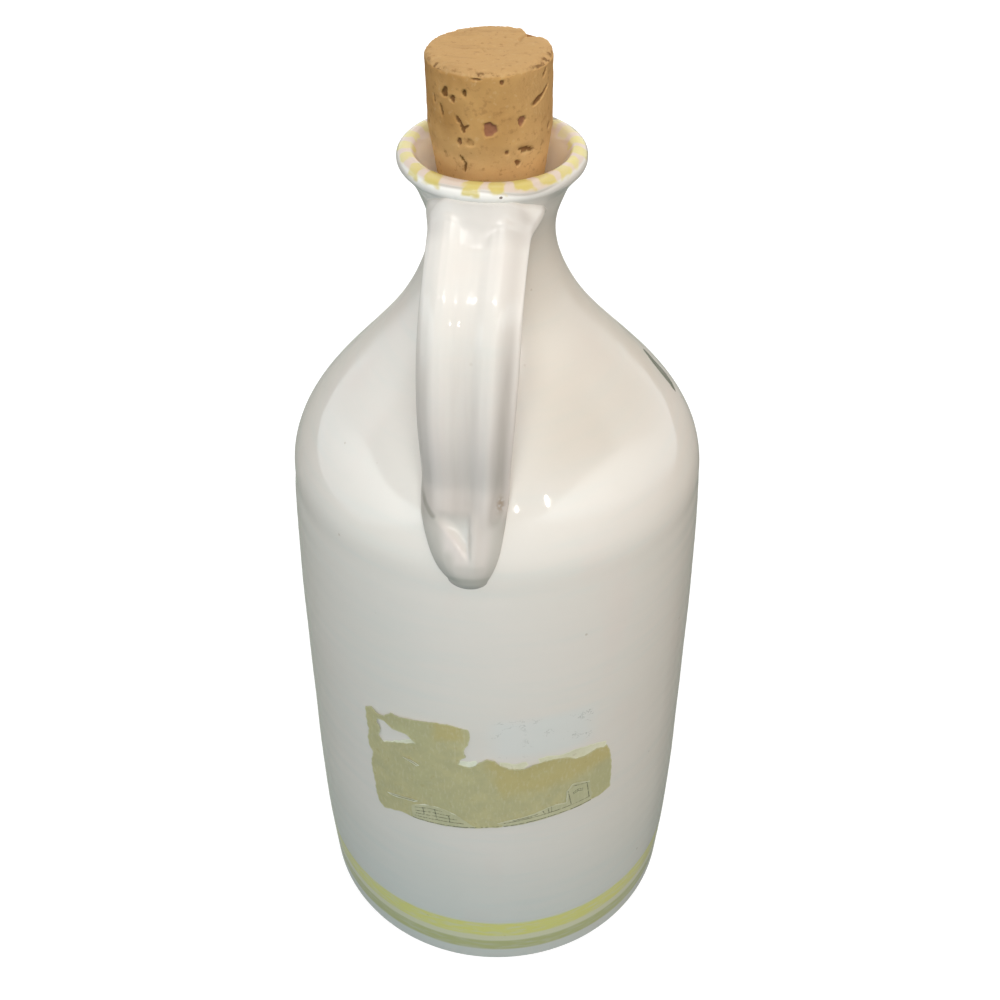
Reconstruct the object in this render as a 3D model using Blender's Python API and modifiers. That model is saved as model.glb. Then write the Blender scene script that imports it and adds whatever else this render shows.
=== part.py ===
"""Hand-thrown glazed oil bottle with a strap handle, a cork and the rest of a paper label.

Metres, +Z up. The origin is the middle of the flat base, and the handle stands on the -Y side.
"""
import math

import bmesh
import bpy
import numpy as np
from mathutils import Matrix

# Bottle, outside
FOOT_RADIUS = 0.0543
FOOT_EDGE_RADIUS = 0.0020
BODY_RADIUS = 0.0557
SHOULDER_RADIUS = 0.0539
SHOULDER_HEIGHT = 0.1580
NECK_RADIUS = 0.0149
NECK_HEIGHT = 0.2280
RIM_HEIGHT = 0.2450
RIM_RADIUS = 0.0218
RIM_BEAD_RADIUS = 0.0024
# The neck was bent a little to one side while the clay was soft
NECK_LEAN = 0.0011

# Bottle, inside
BODY_WALL = 0.0048
FLOOR_THICKNESS = 0.0065
FLOOR_CORNER_RADIUS = 0.0080
THROAT_RADIUS = 0.0108

# Cork
CORK_CLEARANCE = 0.0003
CORK_HEAD_RADIUS = 0.0140
CORK_HEAD_LENGTH = 0.0165
CORK_STANDS_PROUD = 0.0220
CORK_BELOW_THROAT = 0.0030
CORK_EDGE = 0.0006
CORK_TILT = math.radians(1.0)
CORK_CHIP_DEPTH = 0.0020
CORK_CHIP_REACH = 0.0095
CORK_CHIP_SIDE = 0.0068

# Strap handle: its outer face reaches furthest from the axis at HANDLE_REACH_HEIGHT
HANDLE_WIDTH = 0.0228
HANDLE_ROOT_WIDTH = 0.0258
HANDLE_LOW_WIDTH = 0.0203
HANDLE_THICKNESS = 0.0060
HANDLE_GROOVE = 0.0006
HANDLE_REACH = 0.0478
HANDLE_REACH_HEIGHT = 0.1980
HANDLE_OFFSET = -0.0012
TAIL_WIDTH = 0.0194
TAIL_TOP_HEIGHT = 0.1765
TAIL_TIP_HEIGHT = 0.1612
TAIL_THICKNESS = 0.0030
TAIL_DRIFT = 0.0014
SEAT_GAP = 0.0003

# Paper label: a rectangle whose corner and upper right part were torn away
LABEL_WIDTH = 0.0706
LABEL_HEIGHT = 0.0439
LABEL_THICKNESS = 0.0002
LABEL_TILT = math.radians(7.0)
LABEL_CORNER_ROUND = -0.0276
LABEL_CORNER_HEIGHT = 0.0647

# Facets
TURN_STEPS = 60
CORK_STEPS = 48
HANDLE_SIDES = 24
HANDLE_STATIONS = 44

# Shape of the body wall: fraction of the way up to the shoulder, share of each radius
WALL_SHAPE = ((0.13, 0.25, 0.75, 0.0), (0.50, 0.0, 1.0, 0.0), (0.84, 0.0, 0.6, 0.4))
# Shape of the shoulder: fraction of the way up to the neck, fraction of the radius still to lose
SHOULDER_SHAPE = (
    (0.10, 0.979), (0.243, 0.859), (0.386, 0.655), (0.529, 0.425), (0.671, 0.222), (0.814, 0.078),
)
# Shape of the flare outside and inside: fraction of the way up, fraction of the spread
FLARE_SHAPE = ((0.265, 0.085), (0.53, 0.30), (0.795, 0.60))
FUNNEL_SHAPE = ((0.235, 0.125), (0.47, 0.37), (0.706, 0.67))
# Where the outer flare runs into the bead of the rim, below its widest line
FLARE_JOIN = math.radians(-40.0)

# Torn edge of the label, as shares of its width and height from the lower left corner
LABEL_EDGE = (
    (0.013, 0.0), (0.072, 0.024), (0.25, 0.022), (0.44, 0.029), (0.63, 0.033), (0.80, 0.033),
    (0.976, 0.05), (0.995, 0.16), (1.0, 0.464), (0.987, 0.513), (0.907, 0.56), (0.827, 0.573),
    (0.747, 0.59), (0.674, 0.606), (0.638, 0.585), (0.557, 0.678), (0.506, 0.695), (0.46, 0.651),
    (0.403, 0.654), (0.454, 0.76), (0.467, 0.914), (0.417, 0.996), (0.344, 1.0), (0.262, 0.983),
    (0.178, 0.961), (0.085, 0.925), (0.041, 0.94), (0.007, 0.581), (0.012, 0.414), (0.0, 0.106),
)
LABEL_HOLE = (
    (0.07, 0.879), (0.167, 0.857), (0.24, 0.813), (0.236, 0.771), (0.076, 0.686), (0.059, 0.794),
)


def remove_scene_objects():
    for old in list(bpy.data.objects):
        bpy.data.objects.remove(old, do_unlink=True)


def make_collection(name):
    collection = bpy.data.collections.new(name)
    bpy.context.scene.collection.children.link(collection)
    return collection


def make_material(name, colour, roughness, metallic=0.0, coat=0.0):
    material = bpy.data.materials.new(name)
    material.use_nodes = True
    shader = material.node_tree.nodes["Principled BSDF"]
    shader.inputs["Base Color"].default_value = (*colour, 1.0)
    shader.inputs["Roughness"].default_value = roughness
    shader.inputs["Metallic"].default_value = metallic
    shader.inputs["Coat Weight"].default_value = coat
    material.diffuse_color = (*colour, 1.0)
    return material


def spline(knots, targets):
    """Natural cubic curve through the knots (position, value), read at the targets."""
    x = np.array([k[0] for k in knots])
    y = np.array([k[1] for k in knots])
    h = np.diff(x)
    slope = np.diff(y) / h
    matrix = np.eye(len(x))
    right = np.zeros(len(x))
    for i in range(1, len(x) - 1):
        matrix[i, i - 1:i + 2] = (h[i - 1], 2.0 * (h[i - 1] + h[i]), h[i])
        right[i] = 6.0 * (slope[i] - slope[i - 1])
    bend = np.linalg.solve(matrix, right)
    t = np.asarray(targets, dtype=float)
    i = np.clip(np.searchsorted(x, t) - 1, 0, len(h) - 1)
    a = (x[i + 1] - t) / h[i]
    b = (t - x[i]) / h[i]
    curve = (a ** 3 - a) * bend[i] + (b ** 3 - b) * bend[i + 1]
    return a * y[i] + b * y[i + 1] + curve * h[i] ** 2 / 6.0


def smooth_step(value, low, high):
    t = np.clip((value - low) / (high - low), 0.0, 1.0)
    return t * t * (3.0 - 2.0 * t)


def flare_end():
    """Where the outer flare meets the bead of the rim."""
    height = RIM_HEIGHT + RIM_BEAD_RADIUS * math.sin(FLARE_JOIN)
    radius = RIM_RADIUS - RIM_BEAD_RADIUS * (1.0 - math.cos(FLARE_JOIN))
    return height, radius


def outer_knots():
    knots = [(FOOT_EDGE_RADIUS, FOOT_RADIUS)]
    for up, foot, body, shoulder in WALL_SHAPE:
        radius = foot * FOOT_RADIUS + body * BODY_RADIUS + shoulder * SHOULDER_RADIUS
        knots.append((up * SHOULDER_HEIGHT, radius))
    knots.append((SHOULDER_HEIGHT, SHOULDER_RADIUS))
    for up, left in SHOULDER_SHAPE:
        height = SHOULDER_HEIGHT + up * (NECK_HEIGHT - SHOULDER_HEIGHT)
        knots.append((height, NECK_RADIUS + left * (SHOULDER_RADIUS - NECK_RADIUS)))
    knots.append((NECK_HEIGHT, NECK_RADIUS))
    top_height, top_radius = flare_end()
    for up, spread in FLARE_SHAPE:
        height = NECK_HEIGHT + up * (top_height - NECK_HEIGHT)
        knots.append((height, NECK_RADIUS + spread * (top_radius - NECK_RADIUS)))
    knots.append((top_height, top_radius))
    return knots


def outer_radius(height):
    return spline(outer_knots(), height)


def outer_slope(height):
    step = 0.0002
    return (outer_radius(height + step) - outer_radius(height - step)) / (2.0 * step)


def lean_at(height):
    """Sideways shift of the turned shape, from none at the shoulder to all of it at the neck."""
    return -NECK_LEAN * smooth_step(height, SHOULDER_HEIGHT, NECK_HEIGHT)


def outer_heights():
    wall = np.linspace(FOOT_EDGE_RADIUS, SHOULDER_HEIGHT, 9)
    shoulder = np.linspace(SHOULDER_HEIGHT, NECK_HEIGHT, 17)[1:]
    flare = np.linspace(NECK_HEIGHT, flare_end()[0], 7)[1:]
    return np.concatenate((wall, shoulder, flare))


def rim_arc(start, end, count, grown=0.0):
    centre = RIM_RADIUS - RIM_BEAD_RADIUS
    size = RIM_BEAD_RADIUS + grown
    return [
        (centre + size * math.cos(a), RIM_HEIGHT + size * math.sin(a))
        for a in np.linspace(start, end, count)
    ]


def outer_line(grown=0.0):
    """Outside of the bottle from under the rim down to the foot, moved out by grown."""
    points = []
    for height in outer_heights()[::-1]:
        slope = outer_slope(height)
        length = math.hypot(1.0, slope)
        points.append((outer_radius(height) + grown / length, height - grown * slope / length))
    return points


def foot_arc(count, grown=0.0):
    centre = FOOT_RADIUS - FOOT_EDGE_RADIUS
    size = FOOT_EDGE_RADIUS + grown
    return [
        (centre + size * math.cos(a), FOOT_EDGE_RADIUS - size * math.sin(a))
        for a in np.linspace(0.0, math.pi / 2.0, count)
    ]


def inner_line():
    """Inside of the bottle from the floor up to the throat and out along the mouth's funnel."""
    neck_wall = NECK_RADIUS - THROAT_RADIUS
    corner = FLOOR_THICKNESS + FLOOR_CORNER_RADIUS
    corner_radius = outer_radius(corner) - BODY_WALL
    points = [(0.0, FLOOR_THICKNESS)]
    for a in np.linspace(-math.pi / 2.0, 0.0, 6):
        radius = corner_radius - FLOOR_CORNER_RADIUS * (1.0 - math.cos(a))
        points.append((radius, corner + FLOOR_CORNER_RADIUS * math.sin(a)))
    for height in np.concatenate((
        np.linspace(corner, SHOULDER_HEIGHT, 6)[1:],
        np.linspace(SHOULDER_HEIGHT, NECK_HEIGHT, 14)[1:-1],
    )):
        blend = smooth_step(height, SHOULDER_HEIGHT, NECK_HEIGHT)
        wall = BODY_WALL + (neck_wall - BODY_WALL) * blend
        slope = outer_slope(height)
        length = math.hypot(1.0, slope)
        points.append((outer_radius(height) - wall / length, height + wall * slope / length))
    points.append((THROAT_RADIUS, NECK_HEIGHT))
    mouth_radius = RIM_RADIUS - 2.0 * RIM_BEAD_RADIUS
    for up, spread in FUNNEL_SHAPE:
        height = NECK_HEIGHT + up * (RIM_HEIGHT - NECK_HEIGHT)
        points.append((THROAT_RADIUS + spread * (mouth_radius - THROAT_RADIUS), height))
    return points


def link_mesh(name, points, edges, faces, collection):
    mesh = bpy.data.meshes.new(name)
    mesh.from_pydata(points, edges, faces)
    obj = bpy.data.objects.new(name, mesh)
    collection.objects.link(obj)
    return obj


def turn(name, profile, steps, collection, angle=2.0 * math.pi):
    """Turn a profile of (radius, height) points about Z; it runs down the outer side."""
    points = [(radius, 0.0, height) for radius, height in profile]
    edges = [(i, i + 1) for i in range(len(points) - 1)]
    obj = link_mesh(name, points, edges, [], collection)
    screw = obj.modifiers.new("Turn", "SCREW")
    screw.angle = angle
    screw.steps = steps
    screw.render_steps = steps
    screw.use_merge_vertices = True
    screw.merge_threshold = 0.00001
    screw.use_smooth_shade = True
    return obj


def settle(obj):
    """Apply an object's modifiers to its mesh."""
    depsgraph = bpy.context.evaluated_depsgraph_get()
    mesh = bpy.data.meshes.new_from_object(obj.evaluated_get(depsgraph))
    obj.modifiers.clear()
    obj.data = mesh
    return mesh


def lean(obj):
    """Shift a turned shape sideways as the soft neck was bent."""
    for vertex in settle(obj).vertices:
        vertex.co.x += float(lean_at(vertex.co.z))


def boolean(obj, cutter, operation):
    modifier = obj.modifiers.new(cutter.name, "BOOLEAN")
    modifier.operation = operation
    modifier.solver = "EXACT"
    modifier.object = cutter


def hide_cutter(obj):
    obj.hide_render = True
    obj.display_type = "WIRE"


def finish_mesh(obj, material, crease_degrees=35.0):
    obj.data.materials.clear()
    obj.data.materials.append(material)
    obj.data.shade_smooth()
    obj.data.set_sharp_from_angle(angle=math.radians(crease_degrees))


def make_bottle(collection, material):
    rim = rim_arc(math.pi, FLARE_JOIN, 10)
    profile = inner_line() + rim + outer_line()[1:] + foot_arc(4)[1:] + [(0.0, 0.0)]
    bottle = turn("bottle_body", profile, TURN_STEPS, collection)
    lean(bottle)
    finish_mesh(bottle, material)
    return bottle


def make_seat_cutter(collection):
    """Filled outer form of the bottle, grown by the gap that the handle's joints keep."""
    rim = rim_arc(math.pi / 2.0, FLARE_JOIN, 7, SEAT_GAP)
    foot = foot_arc(4, SEAT_GAP)[1:]
    profile = [(0.0, rim[0][1])] + rim + outer_line(SEAT_GAP)[1:] + foot + [(0.0, -SEAT_GAP)]
    cutter = turn("bottle_form", profile, TURN_STEPS, collection)
    lean(cutter)
    hide_cutter(cutter)
    return cutter


def handle_path():
    """Middle of the strap as stations of (distance, height, width, thickness, sideways)."""
    reach = HANDLE_REACH - HANDLE_THICKNESS / 2.0
    root_height = RIM_HEIGHT - RIM_BEAD_RADIUS - 0.9 * HANDLE_THICKNESS
    fall = root_height - HANDLE_REACH_HEIGHT
    spread = reach - NECK_RADIUS
    tail_out = float(outer_radius(TAIL_TOP_HEIGHT))
    middle_height = (TAIL_TOP_HEIGHT + TAIL_TIP_HEIGHT) / 2.0
    middle_out = float(outer_radius(middle_height))
    tip_out = float(outer_radius(TAIL_TIP_HEIGHT))
    landing = HANDLE_REACH_HEIGHT - TAIL_TOP_HEIGHT
    thick = HANDLE_THICKNESS
    wide = HANDLE_WIDTH
    root = HANDLE_ROOT_WIDTH
    side = HANDLE_OFFSET
    return (
        (0.4 * NECK_RADIUS, root_height, root, 1.3 * thick, side),
        (NECK_RADIUS + 0.06 * spread, root_height, root, 1.15 * thick, side),
        (NECK_RADIUS + 0.32 * spread, root_height - 0.09 * fall, wide, thick, side),
        (NECK_RADIUS + 0.62 * spread, root_height - 0.29 * fall, wide, thick, side),
        (NECK_RADIUS + 0.87 * spread, root_height - 0.62 * fall, wide, thick, side),
        (reach, HANDLE_REACH_HEIGHT, 0.5 * (wide + HANDLE_LOW_WIDTH), thick, side),
        (reach, TAIL_TOP_HEIGHT + 0.5 * landing, HANDLE_LOW_WIDTH, thick, side),
        (0.35 * reach + 0.65 * tail_out, TAIL_TOP_HEIGHT + 0.16 * landing,
         TAIL_WIDTH, 0.5 * thick + TAIL_THICKNESS, side + 0.2 * TAIL_DRIFT),
        (middle_out, middle_height, 0.77 * TAIL_WIDTH, 2.0 * TAIL_THICKNESS, side + 0.7 * TAIL_DRIFT),
        (tip_out - 0.2 * TAIL_THICKNESS, TAIL_TIP_HEIGHT,
         0.25 * TAIL_WIDTH, 1.2 * TAIL_THICKNESS, side + TAIL_DRIFT),
    )


def strap_section(width, thickness):
    """Rounded strap section as (across, outward) points, with a shallow groove outside."""
    points = []
    for a in np.linspace(0.0, 2.0 * math.pi, HANDLE_SIDES, endpoint=False):
        across = 0.5 * width * math.copysign(abs(math.cos(a)) ** 0.7, math.cos(a))
        outward = 0.5 * thickness * math.copysign(abs(math.sin(a)) ** 0.8, math.sin(a))
        if outward > 0.0:
            groove = max(0.0, 1.0 - (across / (0.3 * width)) ** 2)
            outward -= HANDLE_GROOVE * groove * width / HANDLE_WIDTH
        points.append((across, outward))
    return points


def make_handle(collection, material, seat_cutter):
    """Pulled strap, lofted through sections that change from root to tail."""
    knots = handle_path()
    place = np.linspace(0.0, len(knots) - 1.0, HANDLE_STATIONS)
    out, height, width, thickness, sideways = (
        spline([(i, knot[column]) for i, knot in enumerate(knots)], place) for column in range(5)
    )
    out_step = np.gradient(out)
    height_step = np.gradient(height)
    points = []
    for i in range(HANDLE_STATIONS):
        length = math.hypot(out_step[i], height_step[i])
        normal_out = -height_step[i] / length
        normal_up = out_step[i] / length
        for across, outward in strap_section(width[i], thickness[i]):
            distance = out[i] + outward * normal_out
            points.append((sideways[i] + across, -distance, height[i] + outward * normal_up))
    faces = []
    for i in range(HANDLE_STATIONS - 1):
        for j in range(HANDLE_SIDES):
            k = (j + 1) % HANDLE_SIDES
            low, high = i * HANDLE_SIDES, (i + 1) * HANDLE_SIDES
            faces.append((low + j, low + k, high + k, high + j))
    faces.append(tuple(range(HANDLE_SIDES))[::-1])
    faces.append(tuple(range(len(points) - HANDLE_SIDES, len(points))))
    handle = link_mesh("strap_handle", points, [], faces, collection)
    face_outward(handle.data)
    boolean(handle, seat_cutter, "DIFFERENCE")
    settle(handle)
    finish_mesh(handle, material)
    return handle


def face_outward(mesh):
    work = bmesh.new()
    work.from_mesh(mesh)
    bmesh.ops.recalc_face_normals(work, faces=work.faces)
    work.to_mesh(mesh)
    work.free()


def cork_profile():
    """Cork outline about its own axis, with height zero at the throat's narrowest line."""
    top = RIM_HEIGHT + RIM_BEAD_RADIUS + CORK_STANDS_PROUD - NECK_HEIGHT
    seat = THROAT_RADIUS - CORK_CLEARANCE
    head = top - CORK_HEAD_LENGTH
    taper = (CORK_HEAD_RADIUS - seat) / head
    tail = seat - taper * CORK_BELOW_THROAT
    return [
        (0.0, top),
        (CORK_HEAD_RADIUS - CORK_EDGE, top),
        (CORK_HEAD_RADIUS, top - CORK_EDGE),
        (CORK_HEAD_RADIUS, head),
        (seat + 0.5 * (CORK_HEAD_RADIUS - seat), 0.5 * head),
        (seat, 0.0),
        (tail, CORK_EDGE - CORK_BELOW_THROAT),
        (tail - CORK_EDGE, -CORK_BELOW_THROAT),
        (0.0, -CORK_BELOW_THROAT),
    ]


def make_cork(collection, cutters, material):
    profile = cork_profile()
    cork = turn("cork_stopper", profile, CORK_STEPS, collection)
    settle(cork)
    top = profile[0][1]
    bpy.ops.mesh.primitive_cube_add(size=1.0)
    chip = bpy.context.object
    chip.name = "cork_chip"
    size = 2.0 * CORK_HEAD_RADIUS
    for vertex in chip.data.vertices:
        vertex.co.x = CORK_CHIP_SIDE + (vertex.co.x + 0.5) * size
        vertex.co.y = (vertex.co.y + 0.5) * size
        vertex.co.z = (vertex.co.z + 0.5) * size
    chip.location = (0.0, CORK_HEAD_RADIUS - CORK_CHIP_REACH, top)
    chip.rotation_euler = (-math.atan2(CORK_CHIP_DEPTH, CORK_CHIP_REACH), 0.0, 0.0)
    for holder in list(chip.users_collection):
        holder.objects.unlink(chip)
    cutters.objects.link(chip)
    hide_cutter(chip)
    chip.parent = cork
    boolean(cork, chip, "DIFFERENCE")
    bpy.context.view_layer.update()
    settle(cork)
    finish_mesh(cork, material)
    cork.location = (float(lean_at(NECK_HEIGHT)), 0.0, NECK_HEIGHT)
    cork.rotation_euler = (0.0, -CORK_TILT, 0.0)
    return cork


def label_point(across_share, up_share):
    """Place on the bottle, as (angle from the handle, height), of a point of the label."""
    across = across_share * LABEL_WIDTH
    up = up_share * LABEL_HEIGHT
    along = LABEL_CORNER_ROUND + across * math.cos(LABEL_TILT) - up * math.sin(LABEL_TILT)
    height = LABEL_CORNER_HEIGHT + across * math.sin(LABEL_TILT) + up * math.cos(LABEL_TILT)
    return along / BODY_RADIUS, height


def make_label(collection, cutters, material):
    """Thin turned sheet that follows the wall, cut by the label's torn outline."""
    corners = [label_point(u, v) for u, v in LABEL_EDGE]
    step = 2.0 * math.pi / TURN_STEPS
    first = math.floor(min(angle for angle, _ in corners) / step) - 1
    last = math.ceil(max(angle for angle, _ in corners) / step) + 1
    low = min(height for _, height in corners) - LABEL_THICKNESS
    high = max(height for _, height in corners) + LABEL_THICKNESS
    inside = [(float(outer_radius(z)) + SEAT_GAP, z) for z in np.linspace(high, low, 6)]
    outside = [(radius + LABEL_THICKNESS, z) for radius, z in inside]
    profile = [inside[0]] + outside + inside[::-1]
    label = turn("torn_label", profile, last - first, collection, (last - first) * step)
    mesh = settle(label)
    work = bmesh.new()
    work.from_mesh(mesh)
    bmesh.ops.remove_doubles(work, verts=work.verts, dist=0.00001)
    bmesh.ops.holes_fill(work, edges=[edge for edge in work.edges if edge.is_boundary], sides=0)
    turned = Matrix.Rotation(first * step - math.pi / 2.0, 3, "Z")
    bmesh.ops.rotate(work, verts=work.verts, cent=(0.0, 0.0, 0.0), matrix=turned)
    work.to_mesh(mesh)
    work.free()
    face_outward(mesh)

    centre = 0.5 * (min(angle for angle, _ in corners) + max(angle for angle, _ in corners))
    outline = bpy.data.curves.new("label_outline", "CURVE")
    outline.dimensions = "2D"
    outline.fill_mode = "BOTH"
    outline.extrude = 0.5 * BODY_RADIUS
    for loop in (LABEL_EDGE, LABEL_HOLE):
        path = outline.splines.new("POLY")
        path.points.add(len(loop) - 1)
        path.use_cyclic_u = True
        for point, (u, v) in zip(path.points, loop):
            angle, height = label_point(u, v)
            point.co = (BODY_RADIUS * math.sin(angle - centre), height, 0.0, 1.0)
    guide = bpy.data.objects.new("label_outline", outline)
    guide.location = (BODY_RADIUS * math.sin(centre), -BODY_RADIUS * math.cos(centre), 0.0)
    guide.rotation_euler = (math.pi / 2.0, 0.0, centre)
    cutters.objects.link(guide)
    bpy.context.view_layer.update()
    prism = bpy.data.objects.new(
        "label_prism",
        bpy.data.meshes.new_from_object(guide.evaluated_get(bpy.context.evaluated_depsgraph_get())),
    )
    prism.matrix_world = guide.matrix_world
    cutters.objects.link(prism)
    bpy.data.objects.remove(guide, do_unlink=True)
    work = bmesh.new()
    work.from_mesh(prism.data)
    bmesh.ops.remove_doubles(work, verts=work.verts, dist=0.00001)
    work.to_mesh(prism.data)
    work.free()
    face_outward(prism.data)
    hide_cutter(prism)
    boolean(label, prism, "INTERSECT")
    bpy.context.view_layer.update()
    settle(label)
    finish_mesh(label, material)
    return label


remove_scene_objects()
parts = make_collection("oil_bottle")
cutters = make_collection("cutters")
glaze = make_material("warm_white_glaze", (0.80, 0.76, 0.70), 0.12, coat=0.4)
cork_bark = make_material("natural_cork", (0.47, 0.28, 0.12), 0.85)
paper = make_material("tan_label_paper", (0.42, 0.36, 0.20), 0.8)
make_bottle(parts, glaze)
make_handle(parts, glaze, make_seat_cutter(cutters))
make_cork(parts, cutters, cork_bark)
make_label(parts, cutters, paper)
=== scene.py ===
"""Hand-thrown oil bottle: glazed earthenware, a pulled strap handle, a cork and a torn label."""
import math

import bpy
import numpy as np
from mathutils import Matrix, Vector
from mathutils.geometry import delaunay_2d_cdt


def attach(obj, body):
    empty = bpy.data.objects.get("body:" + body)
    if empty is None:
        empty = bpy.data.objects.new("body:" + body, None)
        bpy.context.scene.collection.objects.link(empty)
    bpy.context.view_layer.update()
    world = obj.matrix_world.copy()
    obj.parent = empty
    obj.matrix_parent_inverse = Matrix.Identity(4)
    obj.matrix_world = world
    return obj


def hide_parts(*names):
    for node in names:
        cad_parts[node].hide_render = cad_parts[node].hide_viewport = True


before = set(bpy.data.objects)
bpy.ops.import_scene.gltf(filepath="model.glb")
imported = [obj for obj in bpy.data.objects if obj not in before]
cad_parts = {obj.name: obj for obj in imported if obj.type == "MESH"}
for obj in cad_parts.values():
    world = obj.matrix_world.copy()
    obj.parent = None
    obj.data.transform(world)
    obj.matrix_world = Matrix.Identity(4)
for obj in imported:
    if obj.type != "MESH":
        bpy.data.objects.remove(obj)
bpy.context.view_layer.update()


# The view: the bottle stands on a plain pale table and is seen from a raised arm's height,
# a little to the right of its handle, close enough that the foot looks narrower than the
# shoulder. A short lens of 48 mm gives the same narrowing.
VIEW_TURN = math.radians(7.5)
VIEW_DOWN = 0.7000145
VIEW_DISTANCE = 0.28175
VIEW_HEIGHT = 0.379832

lens = bpy.data.cameras.new("view")
lens.sensor_width = 36.0
lens.lens = 48.113
lens.shift_x = 0.00299
lens.clip_start = 0.01
camera = bpy.data.objects.new("view", lens)
camera.location = (
    VIEW_DISTANCE * math.sin(VIEW_TURN), -VIEW_DISTANCE * math.cos(VIEW_TURN), VIEW_HEIGHT,
)
camera.rotation_euler = (math.pi / 2.0 - VIEW_DOWN, 0.0, VIEW_TURN)
bpy.context.scene.collection.objects.link(camera)
bpy.context.scene.camera = camera
bpy.context.scene.view_settings.view_transform = "Standard"


# The table and the light: a plain pale table, a soft lamp above and in front, a wide one behind,
# weaker ones at the sides, and three small bare lamps that give the glaze its sharp sparkles. In
# the glaze a window shows as a bright crescent across the shoulder, below a dark ceiling.
def sign_for(operation):
    """What one of Python's signs does between readings: it adds a Math node."""
    return lambda self, value: self.maths(operation, value)


class Reading:
    """One socket of a shader. Sums and products of readings in Python add their Math nodes."""

    def __init__(self, tree, socket=None):
        self.tree = tree
        self.socket = socket

    def node(self, kind, settings=(), inputs=(), output=0):
        """Add a node: its settings first, then the values or links of its sockets."""
        made = self.tree.nodes.new(kind)
        for name, value in dict(settings).items():
            setattr(made, name, value)
        for name, value in dict(inputs).items():
            if isinstance(value, Reading):
                self.tree.links.new(value.socket, made.inputs[name])
            elif isinstance(value, tuple) and made.inputs[name].type == "RGBA":
                made.inputs[name].default_value = (*value, 1.0)
            else:
                made.inputs[name].default_value = value
        return Reading(self.tree, made.outputs[output] if made.outputs else None)

    def other(self, name):
        """Another output of the node that this reading comes from."""
        return Reading(self.tree, self.socket.node.outputs[name])

    def maths(self, operation, *values):
        return self.node("ShaderNodeMath", {"operation": operation}, enumerate((self, *values)))

    __add__ = __radd__ = sign_for("ADD")
    __sub__ = sign_for("SUBTRACT")
    __mul__ = __rmul__ = sign_for("MULTIPLY")
    __truediv__ = sign_for("DIVIDE")

    def __rsub__(self, value):
        return self.node("ShaderNodeMath", {"operation": "SUBTRACT"}, {0: value, 1: self})

    def __abs__(self):
        return self.maths("ABSOLUTE")

    def positive(self):
        return self.maths("MAXIMUM", 0.0)

    def axes(self):
        """The X, Y and Z of a place or a direction."""
        split = self.node("ShaderNodeSeparateXYZ", inputs={0: self})
        return split, split.other("Y"), split.other("Z")

    def rise(self, low, high):
        """Smooth step from 0 at low to 1 at high."""
        return self.node(
            "ShaderNodeMapRange", {"interpolation_type": "SMOOTHSTEP"},
            {"Value": self, "From Min": low, "From Max": high},
        )

    def within(self, low, high, soft):
        return self.rise(low - soft, low + soft) * (1.0 - self.rise(high - soft, high + soft))

    def tint(self, under, over, **settings):
        """Colour that goes from under to over as this reading goes from 0 to 1."""
        settings["data_type"] = "RGBA"
        return self.node("ShaderNodeMix", settings, {0: self, 6: under, 7: over}, output=2)

    def shade(self, under, by):
        """Colour that is multiplied by another as this reading goes from 0 to 1."""
        return self.tint(under, by, blend_type="MULTIPLY")


def blank_tree(owner):
    """Empty shader of a new world or material, to add nodes to."""
    owner.use_nodes = True
    owner.node_tree.nodes.clear()
    return Reading(owner.node_tree)


# The window lies 5 degrees to the right of the handle: sine and cosine of that angle
WINDOW_SIN, WINDOW_COS = 0.087, 0.996
WALL_GLOW = 0.64
ROOM_GLOW = 0.31

room = bpy.data.worlds.new("room")
studio = blank_tree(room)
ray = studio.node("ShaderNodeLightPath")
x, y, height = studio.node("ShaderNodeTexCoord").axes()
flat = (1.0 - height * height).maths("SQRT")
front = (WINDOW_SIN * x - WINDOW_COS * y) / flat
right = (WINDOW_COS * x + WINDOW_SIN * y) / flat
behind = (0.0 - front).positive()
far_left = (0.0 - right - 0.55).positive()
top_edge = 0.377 + 0.42 * front - 0.30 * front * front + 0.03 * right
top_edge = top_edge - 0.16 * front.positive() * (0.0 - right).positive()
top_edge = top_edge - 0.05 * front.rise(0.72, 0.90)
low_edge = 0.131 + 0.35 * front - 0.25 * behind * behind - 0.84 * far_left
faces_window = front.rise(-0.97, -0.75)
strip = (height - top_edge).rise(0.010, -0.010) * (height - low_edge).rise(-0.03, 0.03)
strength = 1.3 + (1.1 - 1.6 * behind) * (height - top_edge).rise(-0.30, -0.02)
wall = (height - low_edge).rise(0.03, -0.03)
ceiling = (height - top_edge).rise(-0.010, 0.010)
in_front = front.rise(-0.1, 0.1)
seen_in_glaze = (
    in_front * (0.35 * wall + 0.03) + (1.0 - in_front) * (1.3 * ceiling + WALL_GLOW * wall)
    + strip * (faces_window * strength + WALL_GLOW * (1.0 - faces_window))
)
glow = studio.node("ShaderNodeMix", inputs={
    0: ray.other("Is Glossy Ray"), 2: ROOM_GLOW, 3: seen_in_glaze,
})
glow = studio.node("ShaderNodeMix", inputs={0: ray.other("Is Camera Ray"), 2: glow, 3: 1.0})
tone = ray.other("Is Glossy Ray").tint((1.0, 0.98, 0.965), (0.90, 1.0, 1.02))
tone = ray.other("Is Camera Ray").tint(tone, (1.0, 1.0, 1.0))
sky = studio.node("ShaderNodeBackground", inputs={"Color": tone, "Strength": glow})
studio.node("ShaderNodeOutputWorld", inputs={"Surface": sky})
bpy.context.scene.world = room


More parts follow.
